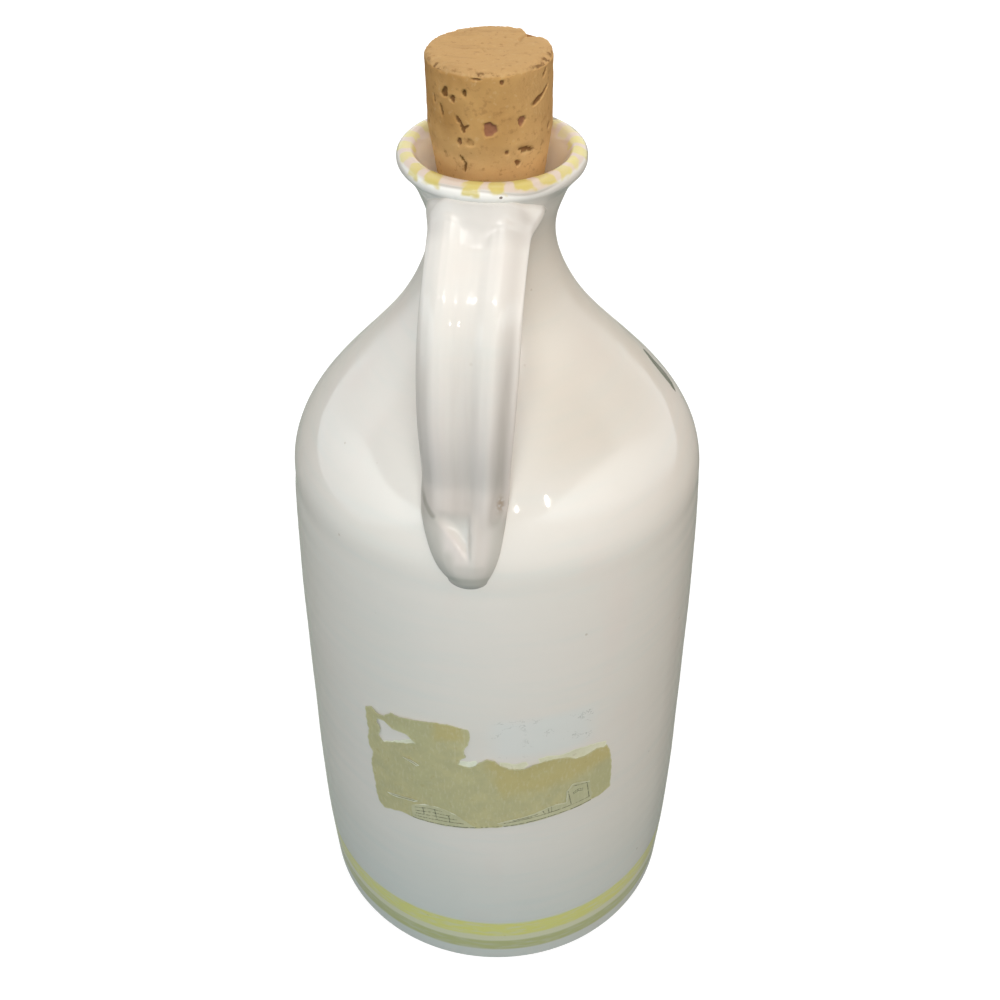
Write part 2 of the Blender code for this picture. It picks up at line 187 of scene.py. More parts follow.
def lamp(name, place, size, power, colour, target=(0.0, 0.0, 0.12), seen=0.0):
    """Soft lamp, or a bare one, whose length is seen, that only sparkles in the glaze."""
    light = bpy.data.lights.new(name, "AREA")
    light.shape = "ELLIPSE"
    light.size = seen or size
    light.size_y = size
    light.energy = power
    light.color = colour
    holder = bpy.data.objects.new(name, light)
    holder.location = place
    holder.rotation_euler = (Vector(target) - Vector(place)).to_track_quat("-Z", "Y").to_euler()
    holder.visible_glossy = seen > 0.0
    holder.visible_diffuse = not seen
    bpy.context.scene.collection.objects.link(holder)


PLAIN = (1.0, 1.0, 1.0)
BARE = (1.0, 0.98, 0.95)
lamp("front_lamp", (0.08, -0.60, 0.80), 0.60, 5.0, (1.0, 0.978, 0.956))
lamp("low_lamp", (0.10, -0.95, 0.25), 0.60, 1.1, (0.19, 0.75, 1.0))
lamp("left_lamp", (-0.80, -0.40, 0.50), 0.60, 1.72, PLAIN)
lamp("right_lamp", (0.80, -0.40, 0.50), 0.60, 2.3, (1.0, 0.78, 0.61))
lamp("back_lamp", (0.0, 0.85, 0.45), 0.80, 8.0, PLAIN)
lamp("bare_lamp", (0.50, -0.63, 0.70), 0.07, 0.4, BARE, (0.0, 0.0, 0.18), 0.03)
lamp("small_lamp", (0.26, -0.74, 0.69), 0.05, 0.10, BARE, (0.0, 0.0, 0.18), 0.02)
lamp("high_lamp", (-0.10, -0.53, 0.86), 0.05, 0.7, BARE, (0.0, -0.03, 0.23), 0.34)

bpy.ops.mesh.primitive_plane_add(size=4.0, location=(0.0, 0.0, -0.0002))
table = bpy.context.object
table.name = "table"
table_top = bpy.data.materials.new("pale_table")
board = blank_tree(table_top)
path = board.node("ShaderNodeLightPath")
matt = board.node("ShaderNodeBsdfDiffuse", inputs={"Color": (0.06, 0.06, 0.06)})
# In the glaze the table is grey, and darker on the right behind a slanting line
x, y, _ = board.node("ShaderNodeTexCoord", output=3).axes()
shadow = (y - 0.93 * x + 0.07).rise(-0.004, 0.004) * x.rise(0.04, 0.06)
mirrored = board.node("ShaderNodeEmission", inputs={
    "Color": (0.92, 1.0, 0.88), "Strength": 0.39 - 0.08 * shadow,
})
lower = board.node("ShaderNodeMixShader", inputs={
    0: path.other("Is Glossy Ray"), 1: matt, 2: mirrored,
})
bright = board.node("ShaderNodeEmission", inputs={"Color": PLAIN, "Strength": 0.86})
shaded = board.node("ShaderNodeBsdfDiffuse", inputs={"Color": (0.24, 0.24, 0.24)})
shown = board.node("ShaderNodeAddShader", inputs={0: bright, 1: shaded})
board.node("ShaderNodeOutputMaterial", inputs={"Surface": board.node(
    "ShaderNodeMixShader", inputs={0: path.other("Is Camera Ray"), 1: lower, 2: shown},
)})
table.data.materials.append(table_top)


# The bottle: earthenware thrown in one piece, its neck bent a little while soft, then dipped in a
# warm white tin glaze. Yellow dashes on the lip, yellow and green lines at the foot and a
# grey-green sprig on the side away from the handle are brushed on it.
FOOT_RADIUS = 0.0543
FOOT_EDGE = 0.0020
BODY_RADIUS = 0.0557
SHOULDER_RADIUS = 0.0539
SHOULDER_HEIGHT = 0.1580
NECK_RADIUS = 0.0149
NECK_HEIGHT = 0.2280
LIP_HEIGHT = 0.2450
LIP_RADIUS = 0.0218
LIP_ROUND = 0.0024
NECK_LEAN = 0.0011
WALL = 0.0048
FLOOR = 0.0065
FLOOR_CORNER = 0.0080
THROAT_RADIUS = 0.0108
LIP_JOIN = math.radians(-40.0)
POLE = 0.0004
RING_PITCH = 0.0062
WAVE_PITCH = 0.031
MM = 0.001
COLUMNS = 330
FAR_OFF = 4.0

# The wall as (share of the shoulder's height, weights of the radii of foot, body and shoulder),
# then as shares of the way up and out, and the throat as (height, radius)
WALL_SHAPE = ((0.13, 0.25, 0.75, 0.0), (0.50, 0.0, 1.0, 0.0), (0.84, 0.0, 0.6, 0.4))
SHOULDER_SHAPE = (
    (0.10, 0.979), (0.243, 0.859), (0.386, 0.655), (0.529, 0.425), (0.671, 0.222), (0.814, 0.078),
)
FLARE_SHAPE = ((0.265, 0.085), (0.53, 0.30), (0.795, 0.60))
FUNNEL = (
    (0.2280, 0.0108), (0.2320, 0.0116), (0.2360, 0.0131), (0.2400, 0.01495), (0.2432, 0.01625),
    (0.2456, 0.0173), (0.24718, 0.01839),
)


def curve_through(knots, targets):
    """Natural cubic curve through knots of (position, value), read at the targets."""
    x, y = (np.array([knot[i] for knot in knots], dtype=float) for i in (0, 1))
    gap = np.diff(x)
    slope = np.diff(y) / gap
    matrix = np.eye(len(x))
    right = np.zeros(len(x))
    for i in range(1, len(x) - 1):
        matrix[i, i - 1:i + 2] = (gap[i - 1], 2.0 * (gap[i - 1] + gap[i]), gap[i])
        right[i] = 6.0 * (slope[i] - slope[i - 1])
    bend = np.linalg.solve(matrix, right)
    t = np.asarray(targets, dtype=float)
    i = np.clip(np.searchsorted(x, t) - 1, 0, len(gap) - 1)
    a = (x[i + 1] - t) / gap[i]
    b = (t - x[i]) / gap[i]
    curve = (a ** 3 - a) * bend[i] + (b ** 3 - b) * bend[i + 1]
    return a * y[i] + b * y[i + 1] + curve * gap[i] ** 2 / 6.0


def ease(value, low, high):
    """Smooth step from 0 at low to 1 at high, which may lie below low."""
    t = np.clip((value - low) / (high - low), 0.0, 1.0)
    return t * t * (3.0 - 2.0 * t)


def bump(value, centre, width):
    """Bell of height 1 round a centre."""
    return np.exp(-((value - centre) / width) ** 2)


def knots_between(shape, bottom, top, inner, outer):
    """Knots that are given as shares of the way up and of the way out."""
    return [(bottom + up * (top - bottom), inner + far * (outer - inner)) for up, far in shape]


flare_height = LIP_HEIGHT + LIP_ROUND * math.sin(LIP_JOIN)
flare_radius = LIP_RADIUS - LIP_ROUND * (1.0 - math.cos(LIP_JOIN))
wall_knots = [
    (FOOT_EDGE, FOOT_RADIUS),
    *((up * SHOULDER_HEIGHT, foot * FOOT_RADIUS + body * BODY_RADIUS + shoulder * SHOULDER_RADIUS)
      for up, foot, body, shoulder in WALL_SHAPE),
    (SHOULDER_HEIGHT, SHOULDER_RADIUS),
    *knots_between(SHOULDER_SHAPE, SHOULDER_HEIGHT, NECK_HEIGHT, NECK_RADIUS, SHOULDER_RADIUS),
    (NECK_HEIGHT, NECK_RADIUS),
    *knots_between(FLARE_SHAPE, NECK_HEIGHT, flare_height, NECK_RADIUS, flare_radius),
    (flare_height, flare_radius),
]


def wall_radius(height):
    return curve_through(wall_knots, height)


def wall_slope(height):
    return (wall_radius(height + 0.0002) - wall_radius(height - 0.0002)) / 0.0004


def lean_at(height):
    return -NECK_LEAN * ease(height, SHOULDER_HEIGHT, NECK_HEIGHT)


def at_turn(turn, radius, height, lean=0.0):
    """Points at turns from the handle, seen from above, and at radii round an upright axis."""
    x, y = lean + radius * np.sin(turn), -radius * np.cos(turn)
    return np.stack(np.broadcast_arrays(x, y, height), axis=-1)


def on_wall(turn, height, out=0.0):
    """Point at a turn from the handle, at a height, out along the wall's normal."""
    slope = wall_slope(height)
    length = np.sqrt(1.0 + slope ** 2)
    radius = wall_radius(height) + out / length
    return at_turn(turn, radius, height - out * slope / length, lean_at(height))


def inner_outline():
    """Inside of the bottle from the lip's round down to the middle of the floor."""
    heights = np.linspace(FUNNEL[-1][0], NECK_HEIGHT, 24)[1:]
    points = list(zip(curve_through(FUNNEL, heights), heights))
    corner = FLOOR + FLOOR_CORNER
    for height in np.concatenate((
        np.linspace(NECK_HEIGHT, SHOULDER_HEIGHT, 18)[1:-1],
        np.linspace(SHOULDER_HEIGHT, corner, 8),
    )):
        blend = ease(height, SHOULDER_HEIGHT, NECK_HEIGHT)
        thick = WALL + (NECK_RADIUS - THROAT_RADIUS - WALL) * blend
        slope = wall_slope(height)
        length = math.hypot(1.0, slope)
        points.append((wall_radius(height) - thick / length, height + thick * slope / length))
    corner_radius = points[-1][0]
    for a in np.linspace(0.0, math.pi / 2.0, 8)[1:]:
        radius = corner_radius - FLOOR_CORNER * (1.0 - math.cos(a))
        points.append((radius, corner - FLOOR_CORNER * math.sin(a)))
    floor_radius = points[-1][0]
    return points + [(0.66 * floor_radius, FLOOR), (0.33 * floor_radius, FLOOR), (POLE, FLOOR)]


outline = [(POLE, 0.0), (0.02, 0.0), (0.04, 0.0)]
for a in np.linspace(math.pi / 2.0, 0.0, 8)[:-1]:
    radius = FOOT_RADIUS - FOOT_EDGE * (1.0 - math.cos(a))
    outline.append((radius, FOOT_EDGE * (1.0 - math.sin(a))))
wall_heights = np.concatenate((
    np.linspace(FOOT_EDGE, SHOULDER_HEIGHT - 0.012, 76),
    np.linspace(SHOULDER_HEIGHT - 0.012, NECK_HEIGHT, 100)[1:],
    np.linspace(NECK_HEIGHT, flare_height, 30)[1:-1],
))
outline += list(zip(wall_radius(wall_heights), wall_heights))
lip_start = len(outline)
lip_middle = LIP_RADIUS - LIP_ROUND
for a in np.linspace(LIP_JOIN, math.radians(115.0), 26):
    outline.append((lip_middle + LIP_ROUND * math.cos(a), LIP_HEIGHT + LIP_ROUND * math.sin(a)))
lip_end = len(outline)
outline += inner_outline()
outline = np.array(outline)
shape = (len(outline), COLUMNS)
turns = np.linspace(-math.pi, math.pi, COLUMNS, endpoint=False)
row_radius, row_height = outline[:, :1], outline[:, 1:]

# Throwing rings climb the wall as one shallow spiral, and the wall is never quite round
outside = (np.arange(len(outline)) < lip_start)[:, None]
outside = outside * ease(row_height, 0.003, 0.02) * ease(row_height, 0.238, 0.225)
rings = np.sin(2.0 * math.pi * row_height / RING_PITCH - turns + 0.6 * np.sin(2.0 * turns + 1.0))
broad = np.sin(2.0 * math.pi * row_height / WAVE_PITCH + 0.8 * np.sin(turns + 0.4))
softer = 1.0 - 0.5 * ease(row_height, 0.150, 0.175)
shift = -outside * softer * (0.016 * (1.0 + rings) + 0.03 * (1.0 + broad)) * MM
# A shallow flat runs round where the wall turns into the shoulder, deepest on the left
flattened = bump(row_height, 0.1585, 0.0028) * (0.35 + 0.65 * bump(turns, -1.25, 0.5))
shift -= outside * 0.22 * MM * flattened
# The lip is a little uneven, and a run of glaze hangs from it over the handle's root
wavy = sum(
    high * np.sin(count * turns + phase)
    for high, count, phase in ((0.10, 3.0, 0.7), (0.07, 7.0, 2.1), (0.04, 13.0, 0.0))
)
lip_rows = np.zeros((len(outline), 1))
lip_rows[lip_start - 6:lip_end] = 1.0
shift -= 0.30 * MM * lip_rows * (0.21 + wavy)
run = bump(turns, 0.29 + 7.8 * (0.2425 - row_height), 0.105)
run = run * ease(row_height, 0.2362, 0.2395) * ease(row_height, 0.2440, 0.2412)
shift += 0.55 * MM * run * (row_radius > lip_middle)
points = at_turn(turns, row_radius + shift, row_height, lean_at(row_height))


def new_piece(name, places, faces):
    mesh = bpy.data.meshes.new(name)
    mesh.from_pydata(places.reshape(-1, 3).tolist(), [], faces)
    mesh.shade_smooth()
    piece = bpy.data.objects.new(name, mesh)
    bpy.context.scene.collection.objects.link(piece)
    return piece


def grid_piece(name, rows):
    """Piece of closed rows of points, in order so that its faces point out, with capped ends."""
    count, columns = rows.shape[:2]
    faces = [
        (i * columns + j, i * columns + (j + 1) % columns,
         (i + 1) * columns + (j + 1) % columns, (i + 1) * columns + j)
        for i in range(count - 1) for j in range(columns)
    ]
    faces.append(tuple(range(columns))[::-1])
    faces.append(tuple(range((count - 1) * columns, count * columns)))
    return new_piece(name, rows, faces)


def mark(piece, shape, **marks):
    """Store numbers at the points of a piece, for its material to read by their names."""
    for name, values in marks.items():
        layer = piece.data.attributes.new(name, "FLOAT", "POINT")
        values = np.broadcast_to(values, shape).astype(np.float32)
        layer.data.foreach_set("value", values.ravel())


bottle = grid_piece("thrown_bottle", points)


def spread_of(stroke, widths):
    """Signed distance in mm, more than 0 inside, from the bottle's points to one brush stroke."""
    degrees, up = np.array(stroke, dtype=float).T
    path = on_wall(np.radians(degrees), up * MM)
    best = np.full(shape, -FAR_OFF)
    for start, end, wide, next_wide in zip(path[:-1], path[1:], widths[:-1], widths[1:]):
        near = np.abs(points - start).sum(axis=-1) < 0.03
        step = end - start
        along = np.clip(((points[near] - start) @ step) / (step @ step), 0.0, 1.0)
        away = np.linalg.norm(points[near] - start - along[:, None] * step, axis=-1) / MM
        best[near] = np.maximum(best[near], wide + (next_wide - wide) * along - away)
    return best


# Lip dashes as (turn in degrees, half width in mm, strength); those at the back are evenly spread
LIP_DASHES = (
    (-116, 1.7, 0.75), (-99, 1.6, 0.9), (-82, 1.8, 0.9), (-65, 1.6, 0.9), (-47, 1.7, 0.95),
    (-31, 2.0, 1.0), (-4.5, 1.8, 1.0), (10.5, 1.6, 1.0), (27, 2.0, 1.0), (43, 1.9, 1.0),
    (58, 1.8, 0.95), (72, 1.7, 0.9), (88, 1.9, 0.9), (104, 1.8, 0.9), (121, 2.0, 0.6),
    (137, 1.6, 0.7), (154, 1.8, 0.9), (171, 1.7, 0.8), (-172, 1.8, 0.9), (-154, 1.7, 1.0),
    (-136, 1.9, 0.8),
)
LONG_DASHES = (-47, -31, -4.5, 10.5, 43)
steps = np.linalg.norm(np.diff(outline, axis=0), axis=1)
across_lip = np.concatenate(([0.0], np.cumsum(steps))) / MM
across_lip = (across_lip - across_lip[lip_start])[:, None]
ragged = 0.25 * np.sin(19.0 * turns + 1.3 * across_lip)
ragged = ragged + 0.2 * np.sin(43.0 * turns - 2.1 * across_lip)
lip_paint = np.full(shape, -FAR_OFF)
lip_strength = np.zeros(shape)
for index, (turn, half_width, strength) in enumerate(LIP_DASHES):
    away = (turns - math.radians(turn) + math.pi) % (2.0 * math.pi) - math.pi
    sideways = away * lip_middle / MM + 0.12 * math.sin(5.0 * index) * (across_lip - 4.0)
    outer_end = 3.1 + 0.35 * math.sin(3.0 * index) - 0.9 * (turn in LONG_DASHES)
    inner_end = 8.2 + 0.5 * math.sin(4.0 * index + 1.0)
    painted = np.minimum(across_lip - outer_end, inner_end - across_lip)
    painted = np.minimum(half_width - np.abs(sideways), painted) + ragged
    lip_strength = np.where(painted > lip_paint, strength, lip_strength)
    lip_paint = np.maximum(lip_paint, np.clip(painted, -FAR_OFF, FAR_OFF))
lip_foot = 3.1 + 0.4 * bump(turns, -0.17, 0.35) - 1.1 * bump(turns, 0.55, 0.3)
lip_edge = ease(across_lip - lip_foot, -0.7, 0.8) * ease(across_lip, 14.0, 8.0)
# In front a crease parts the lip from the thick white glaze round the root, with a pinhole
# The collar is painted whiter than the other glaze: thick white glaze and painted light under the
# lip
collar = ease(row_height, 0.2335, 0.2355) * ease(lip_foot - across_lip, 0.0, 0.5)
collar = collar * ease(turns, -1.15, -0.65) * ease(turns, 1.0, 0.5)
# The crease under the lip is painted dark, as painted shade
lip_crease = bump(across_lip - lip_foot, -0.15, 0.3)
lip_crease = lip_crease * ease(turns, -0.75, -0.45) * ease(turns, 0.95, 0.7)
from_pinhole = np.hypot(LIP_RADIUS / MM * (turns - 0.22), across_lip - 1.78)
# Two chips in the lip's outer edge at the back right show the brown body: a spot and a nick
chip = bump(np.hypot(20.0 * (turns - 2.44), across_lip - 4.9), 0.0, 0.75)
from_nick = np.abs(turns - 2.15)
nick = bump(across_lip, 4.0 + 1.2 * from_nick, 0.35) * ease(from_nick, 0.12, 0.08)

# The sprig: a stem round the shoulder with leaves in pairs, each one press of a round brush
stem = [(turn, 168.0 + 7.0 * math.cos(math.radians(2.4 * (turn - 176))))
        for turn in range(112, 250, 6)]
stem_widths = [0.35 + 0.5 * math.sin(math.pi * i / (len(stem) - 1)) for i in range(len(stem))]
sprig = spread_of(stem, stem_widths)
leaf_widths = [
    2.6 * math.sin(math.pi * t ** 0.8) ** 0.8 + 0.1 for t in np.linspace(0.05, 0.97, 8)
]
for index, (turn, up) in enumerate(stem[1:-1:2]):
    for side in (-1.0, 1.0):
        long = 15.0 + 3.0 * math.sin(2.1 * index + side)
        opening = side * (0.62 + 0.12 * math.sin(1.7 * index))
        leaf = [
            (turn + 4.0 * side + 0.95 * long * t * math.cos(opening) - 3.0 * side * t * t,
             up + long * t * math.sin(opening) + 2.5 * side * t * (1.0 - t))
            for t in np.linspace(0.05, 1.0, 8)
        ]
        sprig = np.maximum(sprig, spread_of(leaf, leaf_widths))
tip = (
    (110.0, 185.2), (107.5, 183.8), (106.0, 182.0), (104.8, 180.3), (103.2, 179.0),
    (101.6, 178.0), (100.4, 177.4),
)
sprig = np.maximum(sprig, spread_of(tip, (1.6, 2.1, 2.5, 2.6, 2.1, 1.2, 0.3)))
for turn, up in ((131, 161), (151, 184), (173, 160), (197, 183), (221, 160)):
    sprig = np.maximum(sprig, spread_of([(turn, up), (turn + 1.5, up - 1.2)], (2.6, 2.5)))

mark(
    bottle, shape, lip_paint=lip_paint, lip_strength=lip_strength, lip_edge=lip_edge,
    lip_crease=lip_crease, collar=collar, pinhole=bump(from_pinhole, 0.0, 0.42), sprig=sprig,
    inside=ease(across_lip, 7.5, 10.0), chips=np.clip(1.5 * np.maximum(chip, nick), 0.0, 1.0),
)


def new_finish(piece, name):
    """Blank material on a piece, and the place on the piece in metres for it to read."""
    material = bpy.data.materials.new(name)
    piece.data.materials.clear()
    piece.data.materials.append(material)
    start = blank_tree(material)
    return start, start.node("ShaderNodeTexCoord", output=3)


def layers(colour, *coats):
    """Lay coats over a colour, one after another: each is (where and how much, its colour)."""
    for share, over in coats:
        colour = share.tint(colour, over)
    return colour


def coat(start, colour, roughness, relief, ior=1.5):
    """Lead the readings into a Principled shader."""
    normal = start.node("ShaderNodeBump", inputs={"Height": relief, "Distance": 1.0})
    shader = start.node("ShaderNodeBsdfPrincipled", inputs={
        "Base Color": colour, "Roughness": roughness, "IOR": ior, "Normal": normal,
    })
    start.node("ShaderNodeOutputMaterial", inputs={"Surface": shader})


def stored(start, name):
    return start.node("ShaderNodeAttribute", {"attribute_name": name}, output=2)


def noise_at(place, scale, detail=2.0, stretch=None, rough=0.5):
    if stretch:
        place = place.node(
            "ShaderNodeVectorMath", {"operation": "MULTIPLY"}, {0: place, 1: stretch},
        )
    return place.node(
        "ShaderNodeTexNoise",
        inputs={"Vector": place, "Scale": scale, "Detail": detail, "Roughness": rough},
    )


def white_glaze(place):
    """Colour, roughness and relief of the glaze that the bottle and its handle share."""
    grains = place.node("ShaderNodeTexVoronoi", inputs={"Vector": place, "Scale": 210.0})
    grain_colour = grains.other("Color")
    chosen = grain_colour.node("ShaderNodeSeparateColor", inputs={0: grain_colour})
    specks = (1.0 - grains.rise(0.05, 0.11)) * chosen.rise(0.965, 0.98)
    colour = layers(
        noise_at(place, 24.0, 3.0).rise(0.30, 0.72).tint(
            (0.775, 0.740, 0.682), (0.800, 0.755, 0.700),
        ),
        (0.55 * noise_at(place, 34.0, 4.0, (1.0, 1.0, 9.0)).rise(0.42, 0.80),
         (0.735, 0.735, 0.690)),
        (0.35 * noise_at(place, 60.0, 2.0, (1.0, 1.0, 0.5)).rise(0.55, 0.75),
         (0.800, 0.715, 0.660)),
        (0.4 * specks, (0.40, 0.30, 0.20)),
    )
    roughness = 0.05 + 0.05 * noise_at(place, 150.0, 3.0).rise(0.35, 0.75)
    relief = 0.00005 * noise_at(place, 95.0) + 0.000010 * noise_at(place, 700.0)
    return colour, roughness, relief - 0.00006 * specks


start, place = new_finish(bottle, "white_tin_glaze")
x, y, level = place.axes()
colour, roughness, relief = white_glaze(place)
turn_round = x.maths("ARCTAN2", 0.0 - y)
brushed = noise_at(place, 210.0, 3.0, (1.0, 1.0, 4.0))
wander = 0.0011 * (noise_at(place, 26.0) - 0.5) + 0.0004 * (noise_at(place, 160.0) - 0.5)
line_level = level + wander
yellow_line = line_level.within(0.0146, 0.0219, 0.0006) * (0.70 + 0.3 * brushed.rise(0.3, 0.6))
pale_line = line_level.within(0.0110, 0.0152, 0.0009)
green_line = line_level.within(0.0064, 0.0117, 0.0006) * (0.78 + 0.22 * brushed.rise(0.3, 0.6))
# Near the foot the glaze is painted cooler and darker, as painted shade, and at the sides it ran
# in a few drips
colour = (1.0 - level.rise(0.015, 0.075)).shade(colour, (0.87, 0.94, 0.96))
drips = noise_at(place, 75.0, 2.0, (1.0, 1.0, 0.10)).rise(0.56, 0.68)
drips = drips * abs(turn_round).rise(0.75, 1.1)
colour = (0.22 * drips * level.within(0.05, 0.15, 0.02)).tint(colour, (0.60, 0.60, 0.55))
# The upper shoulder was wiped and shines less; right of the handle it has painted warm shade
below_lip = 1.0 - level.rise(0.228, 0.238)
roughness = roughness + 0.15 * level.rise(0.180, 0.202) * below_lip
warm = level.rise(0.176, 0.190) * turn_round.rise(0.10, 0.6) * below_lip
colour = warm.shade(colour, (0.925, 0.90, 0.865))
swelling = level.rise(0.218, 0.2375) * (1.0 - level.rise(0.2375, 0.2432))
relief = relief + 0.0016 * swelling * turn_round.within(-0.95, 0.40, 0.30)
# Beside the torn label the glaze is cleaner and bluish, with thin squiggles of old glue
bared = turn_round.within(0.11, 0.60, 0.07) * level.within(0.100, 0.1145, 0.0025)
squiggle = noise_at(place, 150.0, 4.0, (1.0, 1.0, 1.8), 0.65)
squiggle = 1.0 - abs(squiggle - 0.5).rise(0.002, 0.012)
squiggle = squiggle * noise_at(place, 190.0, 1.0).rise(0.48, 0.58) * bared.rise(0.3, 0.6)
# The lip, the mouth and what was brushed on
# Inside the mouth the pinkish glaze is painted paler than outside, as painted light in the shaded
# throat, and darker towards the right
mouth = x.rise(-0.004, 0.012).tint((0.980, 0.910, 0.770), (0.880, 0.770, 0.600))
golden = abs(turn_round).rise(0.6, 1.3).tint((0.660, 0.540, 0.120), (0.740, 0.670, 0.175))
dash = stored(start, "lip_paint") + 1.1 * (noise_at(place, 420.0) - 0.5)
dash = dash.rise(-0.45, 0.55) * stored(start, "lip_strength")
dash = dash * (0.72 + 0.28 * brushed.rise(0.25, 0.6))
dark_spots = stored(start, "chips").maths("MAXIMUM", stored(start, "pinhole").rise(0.35, 0.65))
leaf = (stored(start, "sprig") + 0.9 * (noise_at(place, 300.0) - 0.5)).rise(-0.2, 0.3)
leaf_wash = noise_at(place, 130.0, 3.0).rise(0.25, 0.8)
colour = layers(
    colour,
    (0.95 * stored(start, "collar"), (0.960, 0.925, 0.870)),
    (0.55 * bared, (0.735, 0.770, 0.755)),
    (0.5 * squiggle, (0.300, 0.310, 0.270)),
    (0.62 * pale_line, (0.74, 0.73, 0.40)),
    (yellow_line, (0.740, 0.735, 0.230)),
    (green_line, (0.500, 0.520, 0.240)),
    (0.8 * stored(start, "lip_edge").rise(0.35, 0.95), (0.690, 0.540, 0.435)),
    (stored(start, "inside"), mouth),
    (0.6 * stored(start, "lip_crease"), (0.400, 0.340, 0.290)),
    (0.85 * dash, golden),
    (0.85 * dark_spots, (0.120, 0.060, 0.030)),
    (leaf * (0.96 - 0.25 * leaf_wash), (0.120, 0.130, 0.085)),
)
coat(start, colour, roughness, relief)
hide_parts("bottle_body")
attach(bottle, "bottle")


# The handle: a strap pulled from a lump of clay, with a shallow groove along its back. Its root
# was luted under the lip, and its end was pressed onto the shoulder with a thumb, which left a
# pointed hollow inside a rolled edge. It was glazed and fired in one with the bottle.
STRAP_WIDTH = 0.0228
STRAP_ROOT_WIDTH = 0.0232
STRAP_LOW_WIDTH = 0.0203
STRAP_THICK = 0.0060
STRAP_REACH = 0.0478
STRAP_REACH_HEIGHT = 0.1980
STRAP_OFFSET = -0.0012
TAIL_WIDTH = 0.0194
TAIL_TOP = 0.1765
TAIL_TIP = 0.1612
TAIL_THICK = 0.0030
TAIL_DRIFT = 0.0014
PAD_RADIUS_MM = 54.0
HELD_DEPTH = 0.0012
STATIONS = 260
SIDES = 180
NOSE = 0.0018
NOSE_STEPS = 9

# Height in mm of the strap's back over its middle, at shares of its half width, before rounding
SECTION = (
    (-1.0, 2.7), (-0.9, 3.4), (-0.8, 3.75), (-0.68, 3.95), (-0.56, 3.85), (-0.42, 3.42),
    (-0.25, 2.86), (-0.1, 2.52), (0.05, 2.42), (0.18, 2.60), (0.30, 3.06), (0.42, 3.50),
    (0.52, 3.72), (0.62, 3.62), (0.75, 3.1), (0.88, 2.6), (1.0, 2.2),
)
# How dark the strap's slopes and its groove are painted, as painted shade, at the same shares
STREAKS = (
    (-1.0, 0.5), (-0.9, 0.65), (-0.78, 0.45), (-0.66, 0.06), (-0.5, 0.0), (-0.34, 0.05),
    (-0.22, 0.22), (-0.05, 0.22), (0.08, 0.34), (0.2, 0.32), (0.3, 0.08), (0.4, 0.0),
    (0.54, 0.02), (0.62, 0.42), (0.7, 0.85), (0.84, 0.90), (0.92, 0.3), (1.0, 0.05),
)
reach = STRAP_REACH - STRAP_THICK / 2.0
root_height = LIP_HEIGHT - LIP_ROUND - 0.9 * STRAP_THICK
fall = root_height - STRAP_REACH_HEIGHT
span = reach - NECK_RADIUS
landing = STRAP_REACH_HEIGHT - TAIL_TOP
pad_height = (TAIL_TOP + TAIL_TIP) / 2.0
nose_height = TAIL_TIP + 0.0014
tail_out, pad_out, nose_out = wall_radius((TAIL_TOP, pad_height, nose_height))
# Knots of the strap as (how far out, height, width, thickness, how far to the side)
STRAP_PATH = (
    (0.4 * NECK_RADIUS, root_height + 0.0019, STRAP_ROOT_WIDTH, 1.5 * STRAP_THICK, STRAP_OFFSET),
    (NECK_RADIUS + 0.06 * span, root_height + 0.0016, STRAP_ROOT_WIDTH, 1.4 * STRAP_THICK,
     STRAP_OFFSET),
    *((NECK_RADIUS + far * span, root_height - down * fall, STRAP_WIDTH, STRAP_THICK, STRAP_OFFSET)
      for far, down in ((0.32, 0.09), (0.62, 0.29), (0.87, 0.62))),
    (reach, STRAP_REACH_HEIGHT, 0.5 * (STRAP_WIDTH + STRAP_LOW_WIDTH), STRAP_THICK, STRAP_OFFSET),
    (reach, TAIL_TOP + 0.5 * landing, STRAP_LOW_WIDTH, STRAP_THICK, STRAP_OFFSET),
    (0.35 * reach + 0.65 * tail_out, TAIL_TOP + 0.16 * landing,
     TAIL_WIDTH, 0.5 * STRAP_THICK + TAIL_THICK, STRAP_OFFSET + 0.1 * TAIL_DRIFT),
    (pad_out, pad_height, 0.77 * TAIL_WIDTH, 1.8 * TAIL_THICK, STRAP_OFFSET + 0.35 * TAIL_DRIFT),
    (nose_out, nose_height, 0.42 * TAIL_WIDTH, TAIL_THICK, STRAP_OFFSET + 0.9 * TAIL_DRIFT),
)
way = np.linspace(0.0, len(STRAP_PATH) - 1.0, STATIONS)
out, up, width, thick, side = (
    curve_through([(i, knot[column]) for i, knot in enumerate(STRAP_PATH)], way)
    for column in range(5)
)
# The end is a round nose: more sections, each smaller, go on along the last direction and sink
length = np.hypot(out[-1] - out[-2], up[-1] - up[-2])
closing = np.sin(np.linspace(0.0, 0.485 * math.pi, NOSE_STEPS + 1)[1:])
out, up = (
    np.concatenate((row, row[-1] + NOSE * closing * (row[-1] - row[-2]) / length))
    for row in (out, up)
)
out[-NOSE_STEPS:] -= HELD_DEPTH * closing ** 2
width, thick = (
    np.concatenate((row, row[-1] * np.sqrt(1.0 - closing ** 2))) for row in (width, thick)
)
side = np.concatenate((side, np.full(NOSE_STEPS, side[-1])))
along = np.concatenate((way / way[-1], 1.0 + 0.03 * closing))[:, None]
out, up, width, thick, side = (row[:, None] for row in (out, up, width, thick, side))
length = np.hypot(np.gradient(out, axis=0), np.gradient(up, axis=0))
lean_out = -np.gradient(up, axis=0) / length
lean_up = np.gradient(out, axis=0) / length
angles = np.linspace(0.0, 2.0 * math.pi, SIDES, endpoint=False)[None, ::-1]
share = np.cos(angles)
outer_side = ease(np.sin(angles), 0.0, 0.35)
grooved = ease(along, 0.05, 0.16) * ease(along, 0.83, 0.77)
pressed = ease(along, 0.77, 0.86)
plain = np.sqrt(1.0 - np.abs(share) ** (2.0 + 2.0 * ease(along, 0.08, 0.24)))
lens_shaped = (1.0 - np.abs(share) ** 2.4) ** 0.85
plain = plain + (lens_shaped - plain) * pressed
